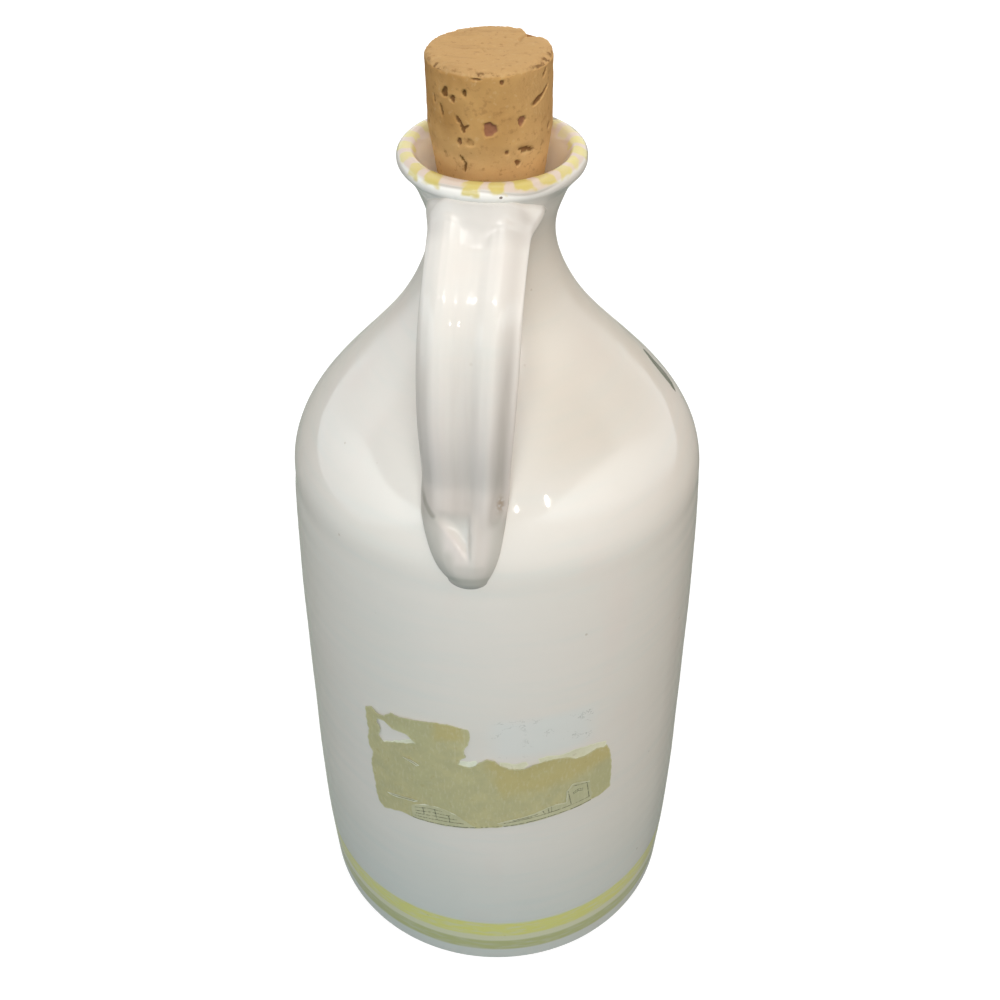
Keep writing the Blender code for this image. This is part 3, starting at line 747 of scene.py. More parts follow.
shaped = np.sqrt(1.0 - share ** 2) * curve_through(SECTION, share) / 3.0
rise = np.where(np.sin(angles) >= 0.0, plain + (shaped - plain) * grooved, -plain)
outward = 0.5 * thick * rise
# The slip that was smeared along the strap left a few faint lengthwise lines
lines = np.sin(26.0 * share + 2.0 * along) + 0.6 * np.sin(47.0 * share - 3.0 * along + 1.0)
outward += 0.03 * MM * outer_side * ease(along, 0.80, 0.70) * lines


def turn_and_radius(places):
    """Turns from the handle of points, and their radii, round the bottle's leaning axis."""
    x = places[..., 0] - lean_at(places[..., 2])
    return np.arctan2(x, -places[..., 1]), np.hypot(x, places[..., 1])


def strap_points():
    """Places of the strap's points, and their mm round the bottle and up it."""
    distance = out + outward * lean_out
    place = np.stack((side + 0.5 * width * share, -distance, up + outward * lean_up), axis=-1)
    return place, turn_and_radius(place)[0] * PAD_RADIUS_MM, place[..., 2] / MM


def away_from(lines, x, y):
    """Distance in mm from each point to the nearest of some lines of points."""
    best = np.full(np.shape(x), 9.0)
    for line in lines:
        for (x0, y0), (x1, y1) in zip(line[:-1], line[1:]):
            dx, dy = x1 - x0, y1 - y0
            t = np.clip(((x - x0) * dx + (y - y0) * dy) / (dx * dx + dy * dy), 0.0, 1.0)
            best = np.minimum(best, np.hypot(x - x0 - dx * t, y - y0 - dy * t))
    return best


# The thumb's hollow comes to a point at the bottom: a rolled edge bounds it on the left, and the
# strap's right ridge, which runs on straight down, on the right
strap, round_mm, up_mm = strap_points()
from_left = (round_mm + 8.6) * 0.743 + (up_mm - 178.6) * 0.668
thumb = ease(from_left, 0.0, 3.2) * ease(round_mm, 1.0, -0.1) * ease(up_mm, 180.6, 175.8)
thumb = thumb * outer_side * ease(along, 0.74, 0.78)
ridge = outer_side * ease(along, 0.79, 0.83) * ease(along, 0.95, 0.88) * bump(round_mm, 1.9, 1.1)
outward += MM * (0.35 * ridge - 1.6 * thumb)
# Under the lip the slip and the glaze lie thick: a white collar fills the corner, with a run of
# glaze at its lower edge, and the strap's sides droop where they were smeared onto the neck
strap, round_mm, up_mm = strap_points()
x_mm = (strap[..., 0] - lean_at(strap[..., 2])) / MM
r_mm = turn_and_radius(strap)[1] / MM
past_run = r_mm - 23.4 - 0.6 * bump(x_mm, 6.0, 2.5) - 0.15 * np.sin(0.9 * x_mm)
on_top = outer_side * ease(along, 0.30, 0.24)
outward += MM * on_top * (0.12 * ease(past_run, 0.4, -0.5) + 0.08 * bump(past_run, -0.3, 0.45))
strap, round_mm, up_mm = strap_points()
corner = 237.4 + 6.4 * (1.0 - np.clip((r_mm - 21.4) / 4.6, 0.0, 1.0)) ** 2
below = (corner - up_mm) * (1.0 - ease(np.abs(share), 0.58, 1.0))
in_corner = on_top * ease(r_mm, 12.0, 18.0) * ease(r_mm, 26.4, 23.2)
strap[..., 2] += 0.5 * MM * in_corner * (below + np.sqrt(below ** 2 + 0.16))
strap[..., 2] -= 1.6 * MM * ease(np.abs(share), 0.45, 1.0) * ease(along, 0.24, 0.10)
splay = 2.0 * ease(share, 0.30, 1.0) - 1.4 * ease(-share, 0.35, 1.0)
strap[..., 0] += MM * splay * ease(r_mm, 24.5, 17.0)
# At the left of its end the strap's side was folded over as it was pressed down
strap[..., 0] -= 1.1 * MM * ease(-share, 0.2, 1.0) * bump(up_mm, 177.0, 7.5)

# Where the strap comes near the wall it is luted on: its sides spread into a small fillet
turn_at, radius_at = turn_and_radius(strap)
level_at = np.clip(strap[..., 2], 0.0, flare_height)
slope_at = wall_slope(np.clip(level_at, 0.0, flare_height - 0.0003))
clear = (radius_at - wall_radius(level_at)) / np.sqrt(1.0 + slope_at ** 2)
wall_normal = at_turn(turn_at, 1.0, -slope_at)
wall_normal /= np.linalg.norm(wall_normal, axis=-1, keepdims=True)
section_normal = np.stack((
    np.cos(angles) / width * np.ones_like(along),
    -np.sin(angles) / thick * lean_out, np.sin(angles) / thick * lean_up,
), axis=-1)
spreading = section_normal - (section_normal * wall_normal).sum(-1, keepdims=True) * wall_normal
spreading /= np.linalg.norm(spreading, axis=-1, keepdims=True) + 1e-9
fillet = 0.0016 - 0.0008 * ease(along, 0.05, 0.3) + 0.0008 * ease(along, 0.70, 0.80)
fillet = fillet * ease(level_at, 0.2385, 0.2355)
near = np.clip((clear + 0.3 * fillet) / (1.3 * fillet + 1e-6), 0.0, 1.0)
strap += spreading * (0.8 * fillet * (1.0 - near) ** 2)[..., None]
# What lies deeper in the wall than its glaze is drawn back, so that nothing shows in the throat
turn_at, radius_at = turn_and_radius(strap)
floor_radius = wall_radius(np.clip(strap[..., 2], 0.0, flare_height)) - HELD_DEPTH
strap = at_turn(
    turn_at, np.maximum(radius_at, floor_radius), strap[..., 2], lean_at(strap[..., 2]),
)
handle = grid_piece("pulled_strap", strap)

# On the pressed end the glaze is painted greyer where the clay turns away and down, and in the
# split beside it: partly pooled glaze, partly painted shade
on_pad = ease(up_mm, 180.5, 177.0) * ease(along, 0.72, 0.76)
low_ring = 0.45 * ease(up_mm, 169.5, 167.0) + 0.25 * ease(up_mm, 166.0, 163.5)
edge_left = ease(-share, 0.42, 0.72) * (0.55 + 0.20 * ease(up_mm, 177.0, 172.0))
edge_right = 0.45 * ease(share, 0.6, 0.9) + 0.2 * ease(share, 0.02, 0.25)
low_left = 0.6 * ease(-share, 0.15, 0.5) * ease(up_mm, 172.5, 169.5)
split = 0.5 * bump(round_mm, 1.0, 0.42) * ease(up_mm, 168.5, 170.5) * ease(up_mm, 177.5, 175.0)
rolled = ease(along, 0.935, 0.98)
for part in (edge_left, edge_right, low_left, low_ring, split):
    rolled = np.maximum(rolled, part)
# Just below the collar the strap is darker, except under the run of glaze on the right
under_run = np.maximum(1.0 - ease(x_mm, 0.5, 4.5), ease(r_mm, 20.0, 22.0))
under_run = under_run * on_top * ease(r_mm, 27.5, 24.5)
under_run = under_run * (1.0 - 0.75 * bump(x_mm, -5.5, 3.0) * ease(r_mm, 21.5, 23.5))
# Painted shade on the slopes and in the groove, weaker near the root, and on a band where the
# strap bends onto the wall
streak = curve_through(STREAKS, share) * ease(along, 0.08, 0.16) * ease(up_mm, 175.5, 179.0)
streak = streak * (1.0 - 0.75 * ease(up_mm, 205.0, 232.0)) + 0.50 * bump(up_mm, 180.5, 5.0)
# Along the fold at the left of the end a dark line is painted, as painted shade in the crease
fold_line = ((-12.9, 185.4), (-12.0, 183.4), (-10.5, 180.9), (-8.0, 178.4))
fold = 1.0 - ease(away_from((fold_line,), round_mm, up_mm), 0.2, 0.95)
fold = fold * (0.3 + 0.7 * ease(up_mm, 184.0, 181.0))
crease = bump(np.clip(clear / MM, 0.0, None), 0.0, 1.1)
blemish = outer_side * bump(round_mm, 8.3, 1.0) * bump(up_mm, 181.6, 1.7)
mark(
    handle, up_mm.shape, fold=fold, crease=crease, rolled=on_pad * rolled, thumb=thumb,
    streak=outer_side * streak, under_run=under_run, blemish=blemish,
)

start, place = new_finish(handle, "strap_glaze")
colour, roughness, relief = white_glaze(place)
_, _, level = place.axes()
# Where the strap meets the wall its glaze is darker: pooled glaze and painted shade in the join
pooled = stored(start, "crease").rise(0.25, 0.95) * noise_at(place, 220.0).rise(0.15, 0.6)
smeared = noise_at(place, 300.0, 2.0, (1.0, 0.25, 0.12)).rise(0.25, 0.75)
blotch = stored(start, "blemish") * noise_at(place, 900.0).rise(0.40, 0.60)
colour = layers(
    colour,
    (0.5 * pooled, (0.46, 0.43, 0.36)),
    # Lower down the strap is painted pinker and darker, partly its pinkish glaze and partly
    # painted shade; near the root it is painted lighter, as painted light
    (0.75 * (1.0 - level.rise(0.192, 0.226)), (0.680, 0.630, 0.590)),
    (0.45 * level.rise(0.215, 0.232), (0.860, 0.825, 0.775)),
    (0.22 * smeared * (1.0 - level.rise(0.195, 0.235)), (0.660, 0.560, 0.530)),
    (stored(start, "streak") * (0.82 + 0.3 * smeared), (0.500, 0.455, 0.415)),
    (0.45 * stored(start, "under_run"), (0.590, 0.545, 0.505)),
    # The thumb's hollow is painted greyer, as painted shade
    (0.75 * stored(start, "thumb"), (0.665, 0.645, 0.595)),
    (0.85 * stored(start, "rolled"), (0.440, 0.430, 0.380)),
    (0.75 * stored(start, "fold"), (0.300, 0.285, 0.245)),
    (0.75 * blotch, (0.30, 0.22, 0.15)),
)
roughness = roughness + 0.15 * level.rise(0.225, 0.232)
coat(start, colour, roughness, relief)
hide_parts("strap_handle")
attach(handle, "bottle")


# The cork: one stopper cut from natural bark, cylindrical above and tapered where it sits in the
# throat. Its side shows the bark's pores as reddish pits and slits, its top edge is crumbling,
# and a thin slice has broken from the back of its top.
CORK_RADIUS = 0.0140
CORK_HEAD = 0.0165
CORK_PROUD = 0.0220
CORK_BELOW = 0.0030
CORK_SEAT_GAP = 0.0003
CORK_TILT = math.radians(1.0)
CHIP_DEPTH = 0.0020
CHIP_REACH = 0.0095
CHIP_SIDE = 0.0068
WORN_WIDTH = 0.0022
CORK_COLUMNS = 300

cork_top = LIP_HEIGHT + LIP_ROUND + CORK_PROUD - NECK_HEIGHT
cork_seat = THROAT_RADIUS - CORK_SEAT_GAP
head_start = cork_top - CORK_HEAD
taper = (CORK_RADIUS - cork_seat) / head_start

# Pores of the side as (turn in degrees, height in mm, half width, half height, slant, depth, red)
CORK_PORES = (
    (7.9, 28.9, 1.30, 1.45, 0.0, 0.9, 1.0), (37.2, 30.0, 0.75, 1.05, -0.3, 0.8, 0.8),
    (60.0, 33.8, 0.42, 2.9, -1.05, 0.9, 0.3), (53.0, 33.3, 0.35, 1.3, -0.9, 0.5, 0.3),
    (-35.2, 35.9, 0.75, 1.15, -0.5, 0.9, 0.2), (-26.4, 34.9, 0.55, 0.75, 0.0, 0.8, 0.3),
    (-14.3, 36.6, 0.40, 0.70, 0.1, 0.8, 0.2), (19.1, 39.1, 0.40, 0.50, 0.0, 0.7, 0.4),
    (-50.1, 33.7, 0.35, 1.05, 0.2, 0.7, 0.3), (-40.2, 31.6, 0.33, 1.35, 0.25, 0.7, 0.2),
    (-21.0, 30.4, 0.42, 0.95, 0.7, 0.8, 0.3), (-16.8, 28.7, 0.45, 1.1, 0.35, 0.8, 0.3),
    (-13.5, 29.2, 0.25, 0.8, -0.9, 0.5, 0.3), (-20.9, 25.6, 0.45, 0.75, 0.0, 0.8, 0.4),
    (-10.2, 25.7, 0.85, 0.85, 0.0, 0.3, 0.1), (22.9, 23.3, 0.42, 0.42, 0.0, 0.6, 0.5),
    (42.5, 23.2, 0.40, 2.2, -1.85, 0.8, 0.3), (40.0, 22.6, 0.30, 0.8, -1.6, 0.6, 0.3),
    (34.3, 20.3, 0.50, 0.75, 0.8, 0.8, 0.4), (-19.5, 21.3, 0.25, 1.2, 0.6, 0.6, 0.2),
    (-17.0, 19.6, 0.28, 1.3, -0.2, 0.7, 0.2), (-3.1, 39.9, 0.9, 0.35, 0.0, 0.5, 0.4),
    (21.3, 32.7, 1.2, 0.9, 0.4, 0.12, 0.1), (-39.4, 21.9, 0.5, 0.5, 0.0, 0.25, 0.1),
    (66.0, 38.5, 0.4, 1.1, -0.8, 0.6, 0.2), (97.0, 31.0, 0.9, 1.1, 0.1, 0.8, 0.8),
    (112.0, 36.0, 0.4, 1.4, 0.3, 0.7, 0.2), (128.0, 24.5, 0.6, 0.8, 0.0, 0.8, 0.5),
    (143.0, 33.0, 1.1, 1.2, 0.0, 0.9, 0.9), (158.0, 20.0, 0.35, 1.6, -1.1, 0.8, 0.3),
    (171.0, 29.0, 0.5, 0.9, 0.4, 0.7, 0.3), (-172.0, 37.0, 0.45, 0.8, 0.0, 0.7, 0.4),
    (-158.0, 26.0, 0.8, 1.0, 0.0, 0.8, 0.7), (-144.0, 32.5, 0.35, 1.9, 0.9, 0.8, 0.2),
    (-131.0, 21.5, 0.5, 0.6, 0.0, 0.7, 0.4), (-116.0, 35.0, 0.7, 0.9, -0.3, 0.8, 0.3),
    (-102.0, 28.0, 0.5, 1.3, 0.2, 0.8, 0.3), (-88.0, 22.5, 0.9, 1.0, 0.0, 0.7, 0.8),
    (-74.0, 36.5, 0.4, 0.8, 0.0, 0.7, 0.2), (-67.0, 27.0, 0.4, 1.0, 0.4, 0.7, 0.3),
    (75.0, 26.0, 0.5, 0.7, 0.0, 0.7, 0.4), (-5.0, 12.0, 0.9, 1.1, 0.0, 0.7, 0.6),
    (60.0, 9.0, 0.4, 1.6, 0.6, 0.7, 0.3), (-70.0, 14.0, 0.8, 0.9, 0.0, 0.7, 0.5),
    (140.0, 12.0, 0.4, 1.2, -0.4, 0.7, 0.3), (-140.0, 8.0, 0.6, 0.8, 0.0, 0.7, 0.4),
)


def layered(x, y, z, seed, size):
    """Smooth unrepeated waviness from about -1 to 1, from sines laid at many angles."""
    total = 0.0
    for i in range(9):
        a, b = 2.4 * i + seed, 1.3 * i * seed + 0.5
        across = math.cos(a) * math.cos(b) * x + math.sin(a) * math.cos(b) * y + math.sin(b) * z
        wave = np.sin((1.0 + 0.37 * i) / size * across + 1.7 * i * i + seed)
        total = total + wave / (1.0 + 0.35 * i)
    return total / 2.6


heights = np.concatenate((
    np.linspace(-CORK_BELOW + 0.0006, head_start, 60),
    np.linspace(head_start, cork_top - 0.0008, 74)[1:],
))
profile = [(radius, -CORK_BELOW) for radius in (
    0.0003, 0.004, 0.0075, cork_seat + taper * -CORK_BELOW - 0.0006,
)]
profile += [(min(cork_seat + taper * height, CORK_RADIUS), height) for height in heights]
side_rows = len(profile)
profile += [(CORK_RADIUS - 0.00015, cork_top - 0.0004), (CORK_RADIUS - 0.00045, cork_top - 0.0001)]
profile += [(radius, cork_top) for radius in np.linspace(CORK_RADIUS - 0.0009, 0.0003, 56)]
profile = np.array(profile)
profile_radius, profile_height = profile[:, :1], profile[:, 1:]
cork_turns = np.linspace(-math.pi, math.pi, CORK_COLUMNS, endpoint=False)[None, :]
cork_radius = profile_radius * np.ones_like(cork_turns)
is_side, is_top = np.zeros((2, *cork_radius.shape))
is_side[4:side_rows + 1] = 1.0
is_top[side_rows + 1:] = 1.0

pit, red = np.zeros((2, *cork_radius.shape))
degrees = np.degrees(cork_turns)
for turn, up, half_width, half_height, slant, depth, redness in CORK_PORES:
    dx = np.radians((degrees - turn + 180.0) % 360.0 - 180.0) * cork_radius / MM
    dy = profile_height / MM - up
    sx = dx * math.cos(slant) + dy * math.sin(slant)
    sy = dy * math.cos(slant) - dx * math.sin(slant)
    around = np.arctan2(sy, sx)
    ragged_edge = 0.112 * np.sin(3.0 * around + turn) + 0.056 * np.sin(7.0 * around + up)
    hole = 1.0 - np.hypot(sx / (1.2 * half_width), sy / (1.15 * half_height)) + ragged_edge
    hole = ease(hole, -0.12, 0.35) * is_side
    red = np.where(hole > pit, redness, red)
    pit = np.maximum(pit, hole * depth)
x, y, z = np.moveaxis(at_turn(cork_turns, cork_radius, profile_height), -1, 0) / MM
grain = layered(x, y, z, 1.0, 1.1)
fine = layered(x, y, z, 2.3, 0.35)
cork_radius -= is_side * MM * (0.75 * pit + 0.05 * (1.0 + grain) + 0.025 * (1.0 + fine))
# The top edge is worn: crumbled in front, notched on the left and at the right
edge = 1.0 - np.clip((CORK_RADIUS - profile_radius) / WORN_WIDTH, 0.0, 1.0)
edge = edge * ease(profile_height, cork_top - 0.0016, cork_top - 0.0001)
worn = 0.45 + 0.35 * np.abs(layered(x, y, 0.0, 3.1, 0.8))
for much, turn, wide in ((0.7, 6.0, 20.0), (0.8, -50.0, 13.0), (1.0, 74.0, 20.0)):
    worn = worn + much * bump(degrees, turn, wide)
crumbs = 0.5 + 0.5 * layered(x, y, z, 4.7, 0.28)
cork_radius -= MM * 0.55 * edge * worn * crumbs
sink = MM * 0.75 * edge * worn * (0.4 + 0.6 * crumbs)
# A flake has gone from the back right of the top: the face drops there along a crack
x, y, z = np.moveaxis(at_turn(cork_turns, cork_radius, profile_height), -1, 0)
crack_line = CHIP_SIDE + 0.0006 * np.sin(y / MM * 0.9) - x
from_rim = CORK_RADIUS - profile_radius
flake = ease(crack_line, 0.0002, -0.0003) * ease(crack_line, -0.0048, 0.0)
flake = flake * ease(y, 0.006, 0.0125) * ease(from_rim, CHIP_REACH, 0.001)
scratch = bump(x + 0.0010 + 0.5 * (y + 0.0012), 0.0, 0.00022) * bump(y + 0.0012, 0.0, 0.0014)
crack = bump(crack_line, 0.0, 0.00025) * ease(y, 0.0035, 0.0048)
sink = sink + np.maximum(is_top, edge) * 1.15 * CHIP_DEPTH * flake
sink = sink + is_top * MM * (
    0.07 * (1.0 + grain) + 0.05 * (1.0 + fine) + 0.35 * scratch + 0.7 * crack
)
cork_points = at_turn(cork_turns, cork_radius, profile_height - sink)
tilt = np.array((
    (math.cos(CORK_TILT), 0.0, -math.sin(CORK_TILT)), (0.0, 1.0, 0.0),
    (math.sin(CORK_TILT), 0.0, math.cos(CORK_TILT)),
))
cork_points = cork_points @ tilt.T + (lean_at(NECK_HEIGHT), 0.0, NECK_HEIGHT)

cork = grid_piece("cut_cork", cork_points)
mark(
    cork, pit.shape, pit=pit, red=red, top=np.maximum(is_top, edge),
    worn=np.clip(edge * worn, 0.0, 1.0) + is_top * (scratch + crack),
)

start, place = new_finish(cork, "cork_bark")
x, _, level = place.axes()
bark = noise_at(place, 160.0, 4.0).rise(0.25, 0.75)
# The cork's lower part, shaded in the mouth, and its right side are painted lighter and yellower,
# as painted light
low = 1.0 - level.rise(0.2465, 0.2580)
sunlit = x.rise(0.001, 0.012)
streaks = noise_at(place, 240.0, 3.0, (0.35, 1.6, 1.0), 0.6).rise(0.52, 0.66)
cells = place.node("ShaderNodeTexVoronoi", inputs={"Vector": place, "Scale": 1500.0})
flecks = noise_at(place, 620.0, 3.0, rough=0.6)
hollow = (stored(start, "pit") + 0.45 * (flecks - 0.5)).rise(0.05, 0.60)
lining = (stored(start, "red") * 1.2 - 0.2).tint((0.165, 0.074, 0.018), (0.285, 0.115, 0.062))
frayed = stored(start, "worn").rise(0.35, 0.9) * flecks.rise(0.45, 0.6)
colour = layers(
    bark.tint((0.435, 0.225, 0.068), (0.570, 0.320, 0.112)),
    (0.45 * noise_at(place, 46.0).rise(0.35, 0.7), (0.54, 0.330, 0.120)),
    (0.55 * low + 0.35 * sunlit, (0.660, 0.425, 0.190)),
    (0.9 * stored(start, "top").rise(0.2, 0.9), (0.550, 0.345, 0.150)),
    (0.30 * (streaks * stored(start, "top")), (0.400, 0.235, 0.095)),
    (0.5 * flecks.rise(0.56, 0.70), (0.330, 0.170, 0.062)),
    (0.25 * (1.0 - flecks.rise(0.30, 0.42)), (0.640, 0.450, 0.230)),
    (0.93 * hollow, lining),
    (0.85 * frayed, (0.210, 0.105, 0.040)),
)
relief = 0.00016 * noise_at(place, 420.0, 4.0, rough=0.6) + 0.00004 * cells
coat(start, colour, 0.82 + 0.12 * bark, relief, 1.4)
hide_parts("cork_stopper")
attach(cork, "stopper")


# The label: a rectangle of tan paper glued round the wall below the handle. Its upper right part
# and a strip at the left were torn away, which left ragged edges with a pale core, and along its
# lower edge two strips of the printed face remain. Only plain rules of the print are drawn.
LABEL_TILT = math.radians(7.0)
LABEL_CORNER_ROUND = -0.0276
LABEL_CORNER_HEIGHT = 0.0647

# Outlines in mm across and up the label, from its lower left corner
SHEET = (
    (1.9, 41.9), (4.3, 43.2), (5.8, 41.7), (8.2, 41.7), (10.9, 44.1), (13.7, 43.7), (17.4, 43.8),
    (22.6, 44.1), (27.3, 44.3), (29.7, 43.4), (31.2, 42.8), (32.7, 42.5), (32.9, 39.8),
    (31.9, 36.6), (30.5, 34.1), (30.8, 31.8), (28.9, 30.4), (28.2, 28.7), (31.3, 27.7),
    (33.0, 28.6), (34.3, 29.8), (36.3, 30.9), (38.3, 30.3), (39.4, 28.1), (41.8, 26.1),
    (44.5, 25.4), (46.4, 25.7), (48.6, 26.3), (51.4, 26.5), (53.4, 26.5), (55.5, 25.9),
    (58.3, 24.8), (59.7, 23.5), (62.6, 22.9), (64.8, 23.2), (66.4, 23.3), (68.6, 22.1),
    (69.6, 22.6), (70.5, 19.1), (70.5, 14.4), (69.8, 7.8), (69.3, 3.3), (67.5, 2.5), (65.4, 1.8),
    (62.7, 2.1), (59.5, 2.0), (56.4, 2.2), (52.0, 2.2), (47.6, 2.0), (41.8, 1.8), (36.2, 1.6),
    (30.6, 1.6), (24.8, 1.6), (19.0, 1.8), (14.5, 2.2), (10.4, 2.4), (7.2, 3.1), (3.6, 2.5),
    (1.2, 1.5), (-0.4, 3.2), (-0.8, 6.4), (-0.5, 11.6), (-0.6, 16.5), (-0.1, 20.8), (1.3, 24.1),
    (0.3, 26.2), (0.0, 28.8), (1.3, 33.3), (1.1, 38.1),
)
HOLE = (
    (5.7, 39.4), (8.1, 39.5), (10.1, 37.7), (12.4, 37.5), (14.2, 37.5), (16.1, 35.8), (16.8, 34.9),
    (15.2, 34.0), (10.2, 32.4), (5.9, 30.8), (4.8, 32.5), (6.1, 35.9), (5.1, 37.6),
)
PALE_CORES = (
    ((27.4, 29.0), (28.9, 30.0), (31.0, 29.8), (33.2, 30.2), (33.6, 29.0), (31.8, 27.5),
     (29.1, 27.4)),
    ((39.2, 29.2), (41.1, 28.9), (43.3, 27.6), (46.4, 27.9), (47.0, 26.4), (45.0, 25.1),
     (41.3, 25.5), (39.3, 27.3)),
    ((49.6, 28.0), (52.4, 28.2), (54.5, 27.4), (57.3, 27.0), (60.0, 27.1), (64.4, 26.1),
     (67.5, 25.0), (69.6, 24.0), (69.3, 22.0), (66.7, 22.6), (64.2, 22.7), (61.1, 22.6),
     (56.9, 24.7), (52.7, 25.9), (50.0, 26.0)),
    ((5.5, 30.6), (10.2, 32.9), (14.7, 35.1), (16.5, 36.1), (17.5, 35.3), (16.3, 33.6),
     (13.1, 32.6), (8.2, 30.6), (5.6, 29.3)),
)
PRINTED_LEFT = (
    (11.4, 8.0), (15.7, 9.7), (19.6, 9.6), (21.9, 8.8), (24.3, 7.4), (26.3, 5.4), (28.2, 3.3),
    (29.5, 2.0), (24.8, 1.7), (19.0, 1.9), (14.5, 2.3), (11.1, 2.6),
)
PRINTED_RIGHT = (
    (35.6, 3.6), (39.3, 4.4), (42.7, 4.9), (46.5, 5.5), (50.3, 6.7), (52.7, 6.9), (55.5, 6.1),
    (56.0, 10.8), (57.9, 13.2), (60.3, 12.6), (63.0, 11.2), (63.3, 5.1), (62.7, 2.2), (59.5, 2.1),
    (56.4, 2.3), (52.0, 2.3), (47.6, 2.1), (41.8, 1.9), (37.6, 1.9),
)
CURLED = (
    ((3.6, 9.6), (8.5, 10.6), (11.9, 11.2), (14.0, 10.9), (12.9, 9.6), (9.6, 9.4), (5.0, 9.0)),
    ((12.2, 28.2), (14.7, 27.8), (16.8, 25.9), (15.8, 25.2), (13.6, 26.9)),
)
# Plain rules that stand for the print: each is a line of points in mm
RULES = (
    ((12.5, 7.4), (17.0, 8.4), (20.6, 8.0)), ((12.3, 6.0), (17.0, 6.8), (22.8, 6.5)),
    ((12.4, 4.9), (18.0, 5.4), (24.6, 5.0)), ((12.0, 3.8), (19.0, 3.9), (26.2, 3.5)),
    ((15.0, 8.1), (15.0, 5.1)), ((18.6, 8.3), (18.7, 3.9)), ((22.4, 6.5), (22.3, 3.7)),
    ((37.5, 3.3), (44.0, 3.9), (52.0, 4.2), (62.5, 4.3)), ((40.0, 4.1), (47.0, 4.8)),
    ((51.1, 6.6), (51.0, 4.2)), ((50.2, 6.2), (50.2, 4.2)), ((48.6, 5.8), (49.0, 4.2)),
    ((56.4, 11.0), (56.8, 4.4)), ((58.2, 12.2), (62.6, 10.9)), ((62.2, 11.0), (62.3, 4.4)),
    ((57.6, 9.2), (59.4, 9.9), (61.0, 9.3)), ((57.7, 8.6), (59.4, 9.2), (60.7, 8.6)),
)
BORDER = (
    (10.2, 2.8), (14.4, 2.5), (19.0, 2.2), (24.8, 2.0), (30.6, 2.0), (36.2, 2.0), (41.8, 2.2),
    (47.6, 2.5), (53.4, 2.6), (57.9, 2.4), (62.7, 2.5), (65.4, 2.4),
)
PALE_LINE = ((12.1, 8.6), (17.3, 10.0), (21.3, 9.3), (26.2, 6.2), (28.1, 4.0), (30.2, 2.3))


def torn(loop, jag, seed, step=0.35):
    """Ragged copy of an outline in mm, with a point about every step."""
    result = []
    for (x0, y0), (x1, y1) in zip(loop, loop[1:] + loop[:1]):
        long = math.hypot(x1 - x0, y1 - y0)
        count = max(1, round(long / step))
        t = np.arange(count) / count
        x, y = x0 + (x1 - x0) * t, y0 + (y1 - y0) * t
        off = jag * (layered(x, y, 0.0, seed, 0.35) + 0.8 * layered(x, y, 0.0, seed + 1.0, 1.1))
        result += list(zip(x - (y1 - y0) / long * off, y + (x1 - x0) / long * off))
    return result


def inside(loop, x, y):
    """Which points lie within a closed outline, from how many of its edges lie to their right."""
    crossed = np.zeros(len(x), dtype=bool)
    for (x0, y0), (x1, y1) in zip(loop, loop[1:] + loop[:1]):
        if y0 != y1:
            crossed ^= ((y0 > y) != (y1 > y)) & (x < x0 + (x1 - x0) * (y - y0) / (y1 - y0))
    return crossed


def on_bottle(x, y, lift):
    """Point of the paper, from mm across and up the label, lifted off the glaze."""
    along = LABEL_CORNER_ROUND + MM * (x * math.cos(LABEL_TILT) - y * math.sin(LABEL_TILT))
    up = LABEL_CORNER_HEIGHT + MM * (x * math.sin(LABEL_TILT) + y * math.cos(LABEL_TILT))
    return on_wall(along / BODY_RADIUS, up, lift)


def paper(name, loops, lift, wave, thick, step=0.7, curl=0.0, pale=()):
    """Sheet within torn outlines on the wall: its lift, waves, thickness and curl are in mm."""
    corners, edges = [], []
    for loop in loops:
        first = len(corners)
        corners += [Vector(point) for point in loop]
        edges += [(first + i, first + (i + 1) % len(loop)) for i in range(len(loop))]
    grid = np.array([
        (x + 0.25 * step * math.sin(9.0 * y), y + 0.25 * step * math.sin(7.0 * x))
        for x in np.arange(min(p.x for p in corners), max(p.x for p in corners), step)
        for y in np.arange(min(p.y for p in corners), max(p.y for p in corners), step)
    ])
    corners += [Vector(point) for point in grid[inside(loops[0], *grid.T)]]
    verts, _, faces, *_ = delaunay_2d_cdt(corners, edges, [], 1, 0.01)
    x, y = np.array([v.x for v in verts]), np.array([v.y for v in verts])
    faces = np.array(faces)
    middle = x[faces].mean(axis=1), y[faces].mean(axis=1)
    kept = inside(loops[0], *middle)
    for hole in loops[1:]:
        kept &= ~inside(hole, *middle)
    used, faces = np.unique(faces[kept], return_inverse=True)
    faces = faces.reshape(-1, 3)
    x, y = x[used], y[used]
    away = away_from([loop + loop[:1] for loop in loops], x, y)
    rough_lift = 0.5 + 0.5 * layered(x, y, 0.0, 5.0, 3.2)
    height = MM * (lift + wave * rough_lift * (0.25 + np.exp(-away / 1.6)))
    height = height + MM * curl * np.clip((y - y.min()) / (y.max() - y.min()), 0.0, 1.0) ** 2
    count = len(used)
    pairs = np.concatenate((faces[:, [0, 1]], faces[:, [1, 2]], faces[:, [2, 0]])).tolist()
    twins = {(b, a) for a, b in pairs}
    rim = [(b, a, a + count, b + count) for a, b in pairs if (a, b) not in twins]
    piece = new_piece(
        name, np.concatenate((on_bottle(x, y, height + thick * MM), on_bottle(x, y, height))),
        faces.tolist() + (faces[:, ::-1] + count).tolist() + rim,
    )
    piece.data.set_sharp_from_angle(angle=math.radians(50.0))
    mark(
        piece, (2, count), across=x, upward=y, ink=away_from(RULES, x, y),
        border=away_from((BORDER,), x, y), torn_edge=away_from(pale, x, y) if pale else away,
    )
    return piece


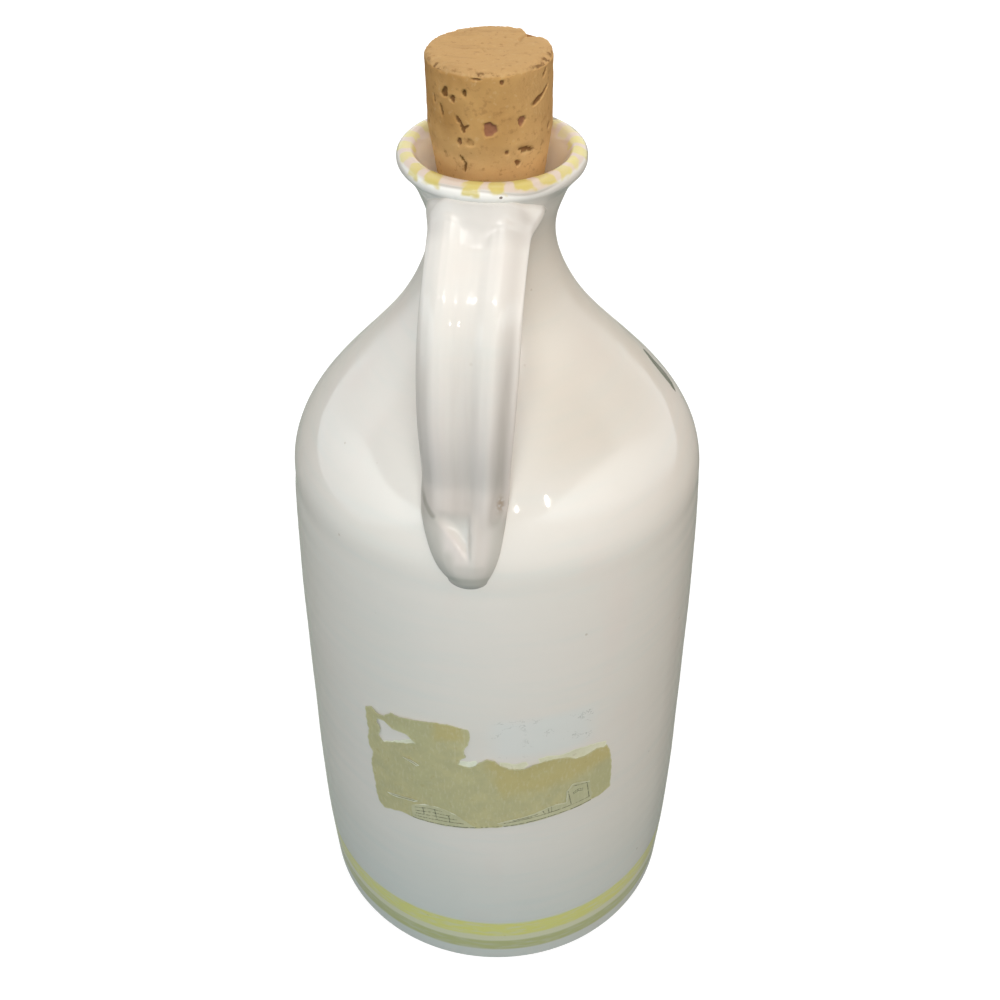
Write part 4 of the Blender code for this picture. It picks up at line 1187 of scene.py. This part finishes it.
def paper_finish(piece, under, over, core_colour, core_share, ink_share=0.0, browned=0.65):
    """Pulp and fibres, a pale torn edge, and what is left of the printed rules."""
    start, place = new_finish(piece, piece.name + "_paper")
    pulp = noise_at(place, 240.0, 4.0, rough=0.6)
    fibres = noise_at(place, 1500.0, 3.0, (1.0, 1.0, 0.3))
    scuffed = noise_at(place, 900.0, 3.0)
    across, upward = stored(start, "across"), stored(start, "upward")
    warp = 5.0 * (noise_at(place, 90.0) - 0.5)
    brown = (across + warp).rise(35.0, 39.0) * (upward + warp - 0.1 * across).rise(7.0, 13.0)
    brown = brown + (across + warp).within(23.0, 31.0, 1.5) * (upward + warp).rise(36.0, 40.0)
    worn_ink = scuffed.rise(0.30, 0.52)
    ink = (1.0 - stored(start, "ink").rise(0.05, 0.22)) * worn_ink * ink_share
    border = (1.0 - stored(start, "border").rise(0.08, 0.26)) * worn_ink
    edge = stored(start, "torn_edge") + 0.7 * (noise_at(place, 420.0) - 0.5)
    colour = layers(
        pulp.rise(0.3, 0.7).tint(under, over),
        (browned * brown, (0.545, 0.455, 0.185)),
        (0.5 * noise_at(place, 60.0, 3.0).rise(0.48, 0.7), (0.455, 0.455, 0.255)),
        (0.3 * noise_at(place, 480.0).rise(0.62, 0.75), (0.36, 0.29, 0.13)),
        (0.25 * fibres.rise(0.5, 0.7), (0.66, 0.64, 0.45)),
        (ink, (0.06, 0.065, 0.045)),
        (0.9 * border, (0.09, 0.10, 0.07)),
        (core_share * (1.0 - edge.rise(0.05, 0.45)), core_colour),
    )
    relief = 0.00006 * pulp + 0.00003 * fibres + 0.00003 * scuffed
    coat(start, colour, 0.74 + 0.2 * pulp, relief, 1.45)
    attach(piece, "bottle")


TAN = ((0.470, 0.445, 0.250), (0.545, 0.505, 0.275))
CORE = ((0.74, 0.76, 0.60), (0.86, 0.87, 0.75))
PRINTED = ((0.500, 0.490, 0.310), (0.570, 0.555, 0.360))
PALE = (0.840, 0.850, 0.720)
sheet = paper("torn_sheet", [torn(SHEET, 0.17, 1.0), torn(HOLE, 0.17, 2.0)], 0.10, 0.28, 0.10)
paper_finish(sheet, *TAN, (0.640, 0.630, 0.430), 0.6)
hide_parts("torn_label")
for index, loop in enumerate(PALE_CORES):
    ragged_loop = torn(loop, 0.16, 3.0 + index, 0.25)
    core = paper("torn_core_%d" % index, [ragged_loop], 0.02, 0.05, 0.05, 0.45)
    paper_finish(core, *CORE, PALE, 0.5, browned=0.28)
for name, loop, pale, core_share in (
    ("printed_left", PRINTED_LEFT, PALE_LINE, 0.8),
    ("printed_right", PRINTED_RIGHT, PRINTED_RIGHT[:11], 0.4),
):
    face = paper(name, [torn(loop, 0.10, 9.0, 0.25)], 0.36, 0.10, 0.07, 0.3, pale=(pale,))
    paper_finish(face, *PRINTED, PALE, core_share, 0.9)
for index, loop in enumerate(CURLED):
    ragged_loop = torn(loop, 0.08, 12.0 + index, 0.25)
    curl = paper("curled_tear_%d" % index, [ragged_loop], 0.32, 0.05, 0.06, 0.3, 0.55)
    paper_finish(curl, *TAN, PALE, 0.95)
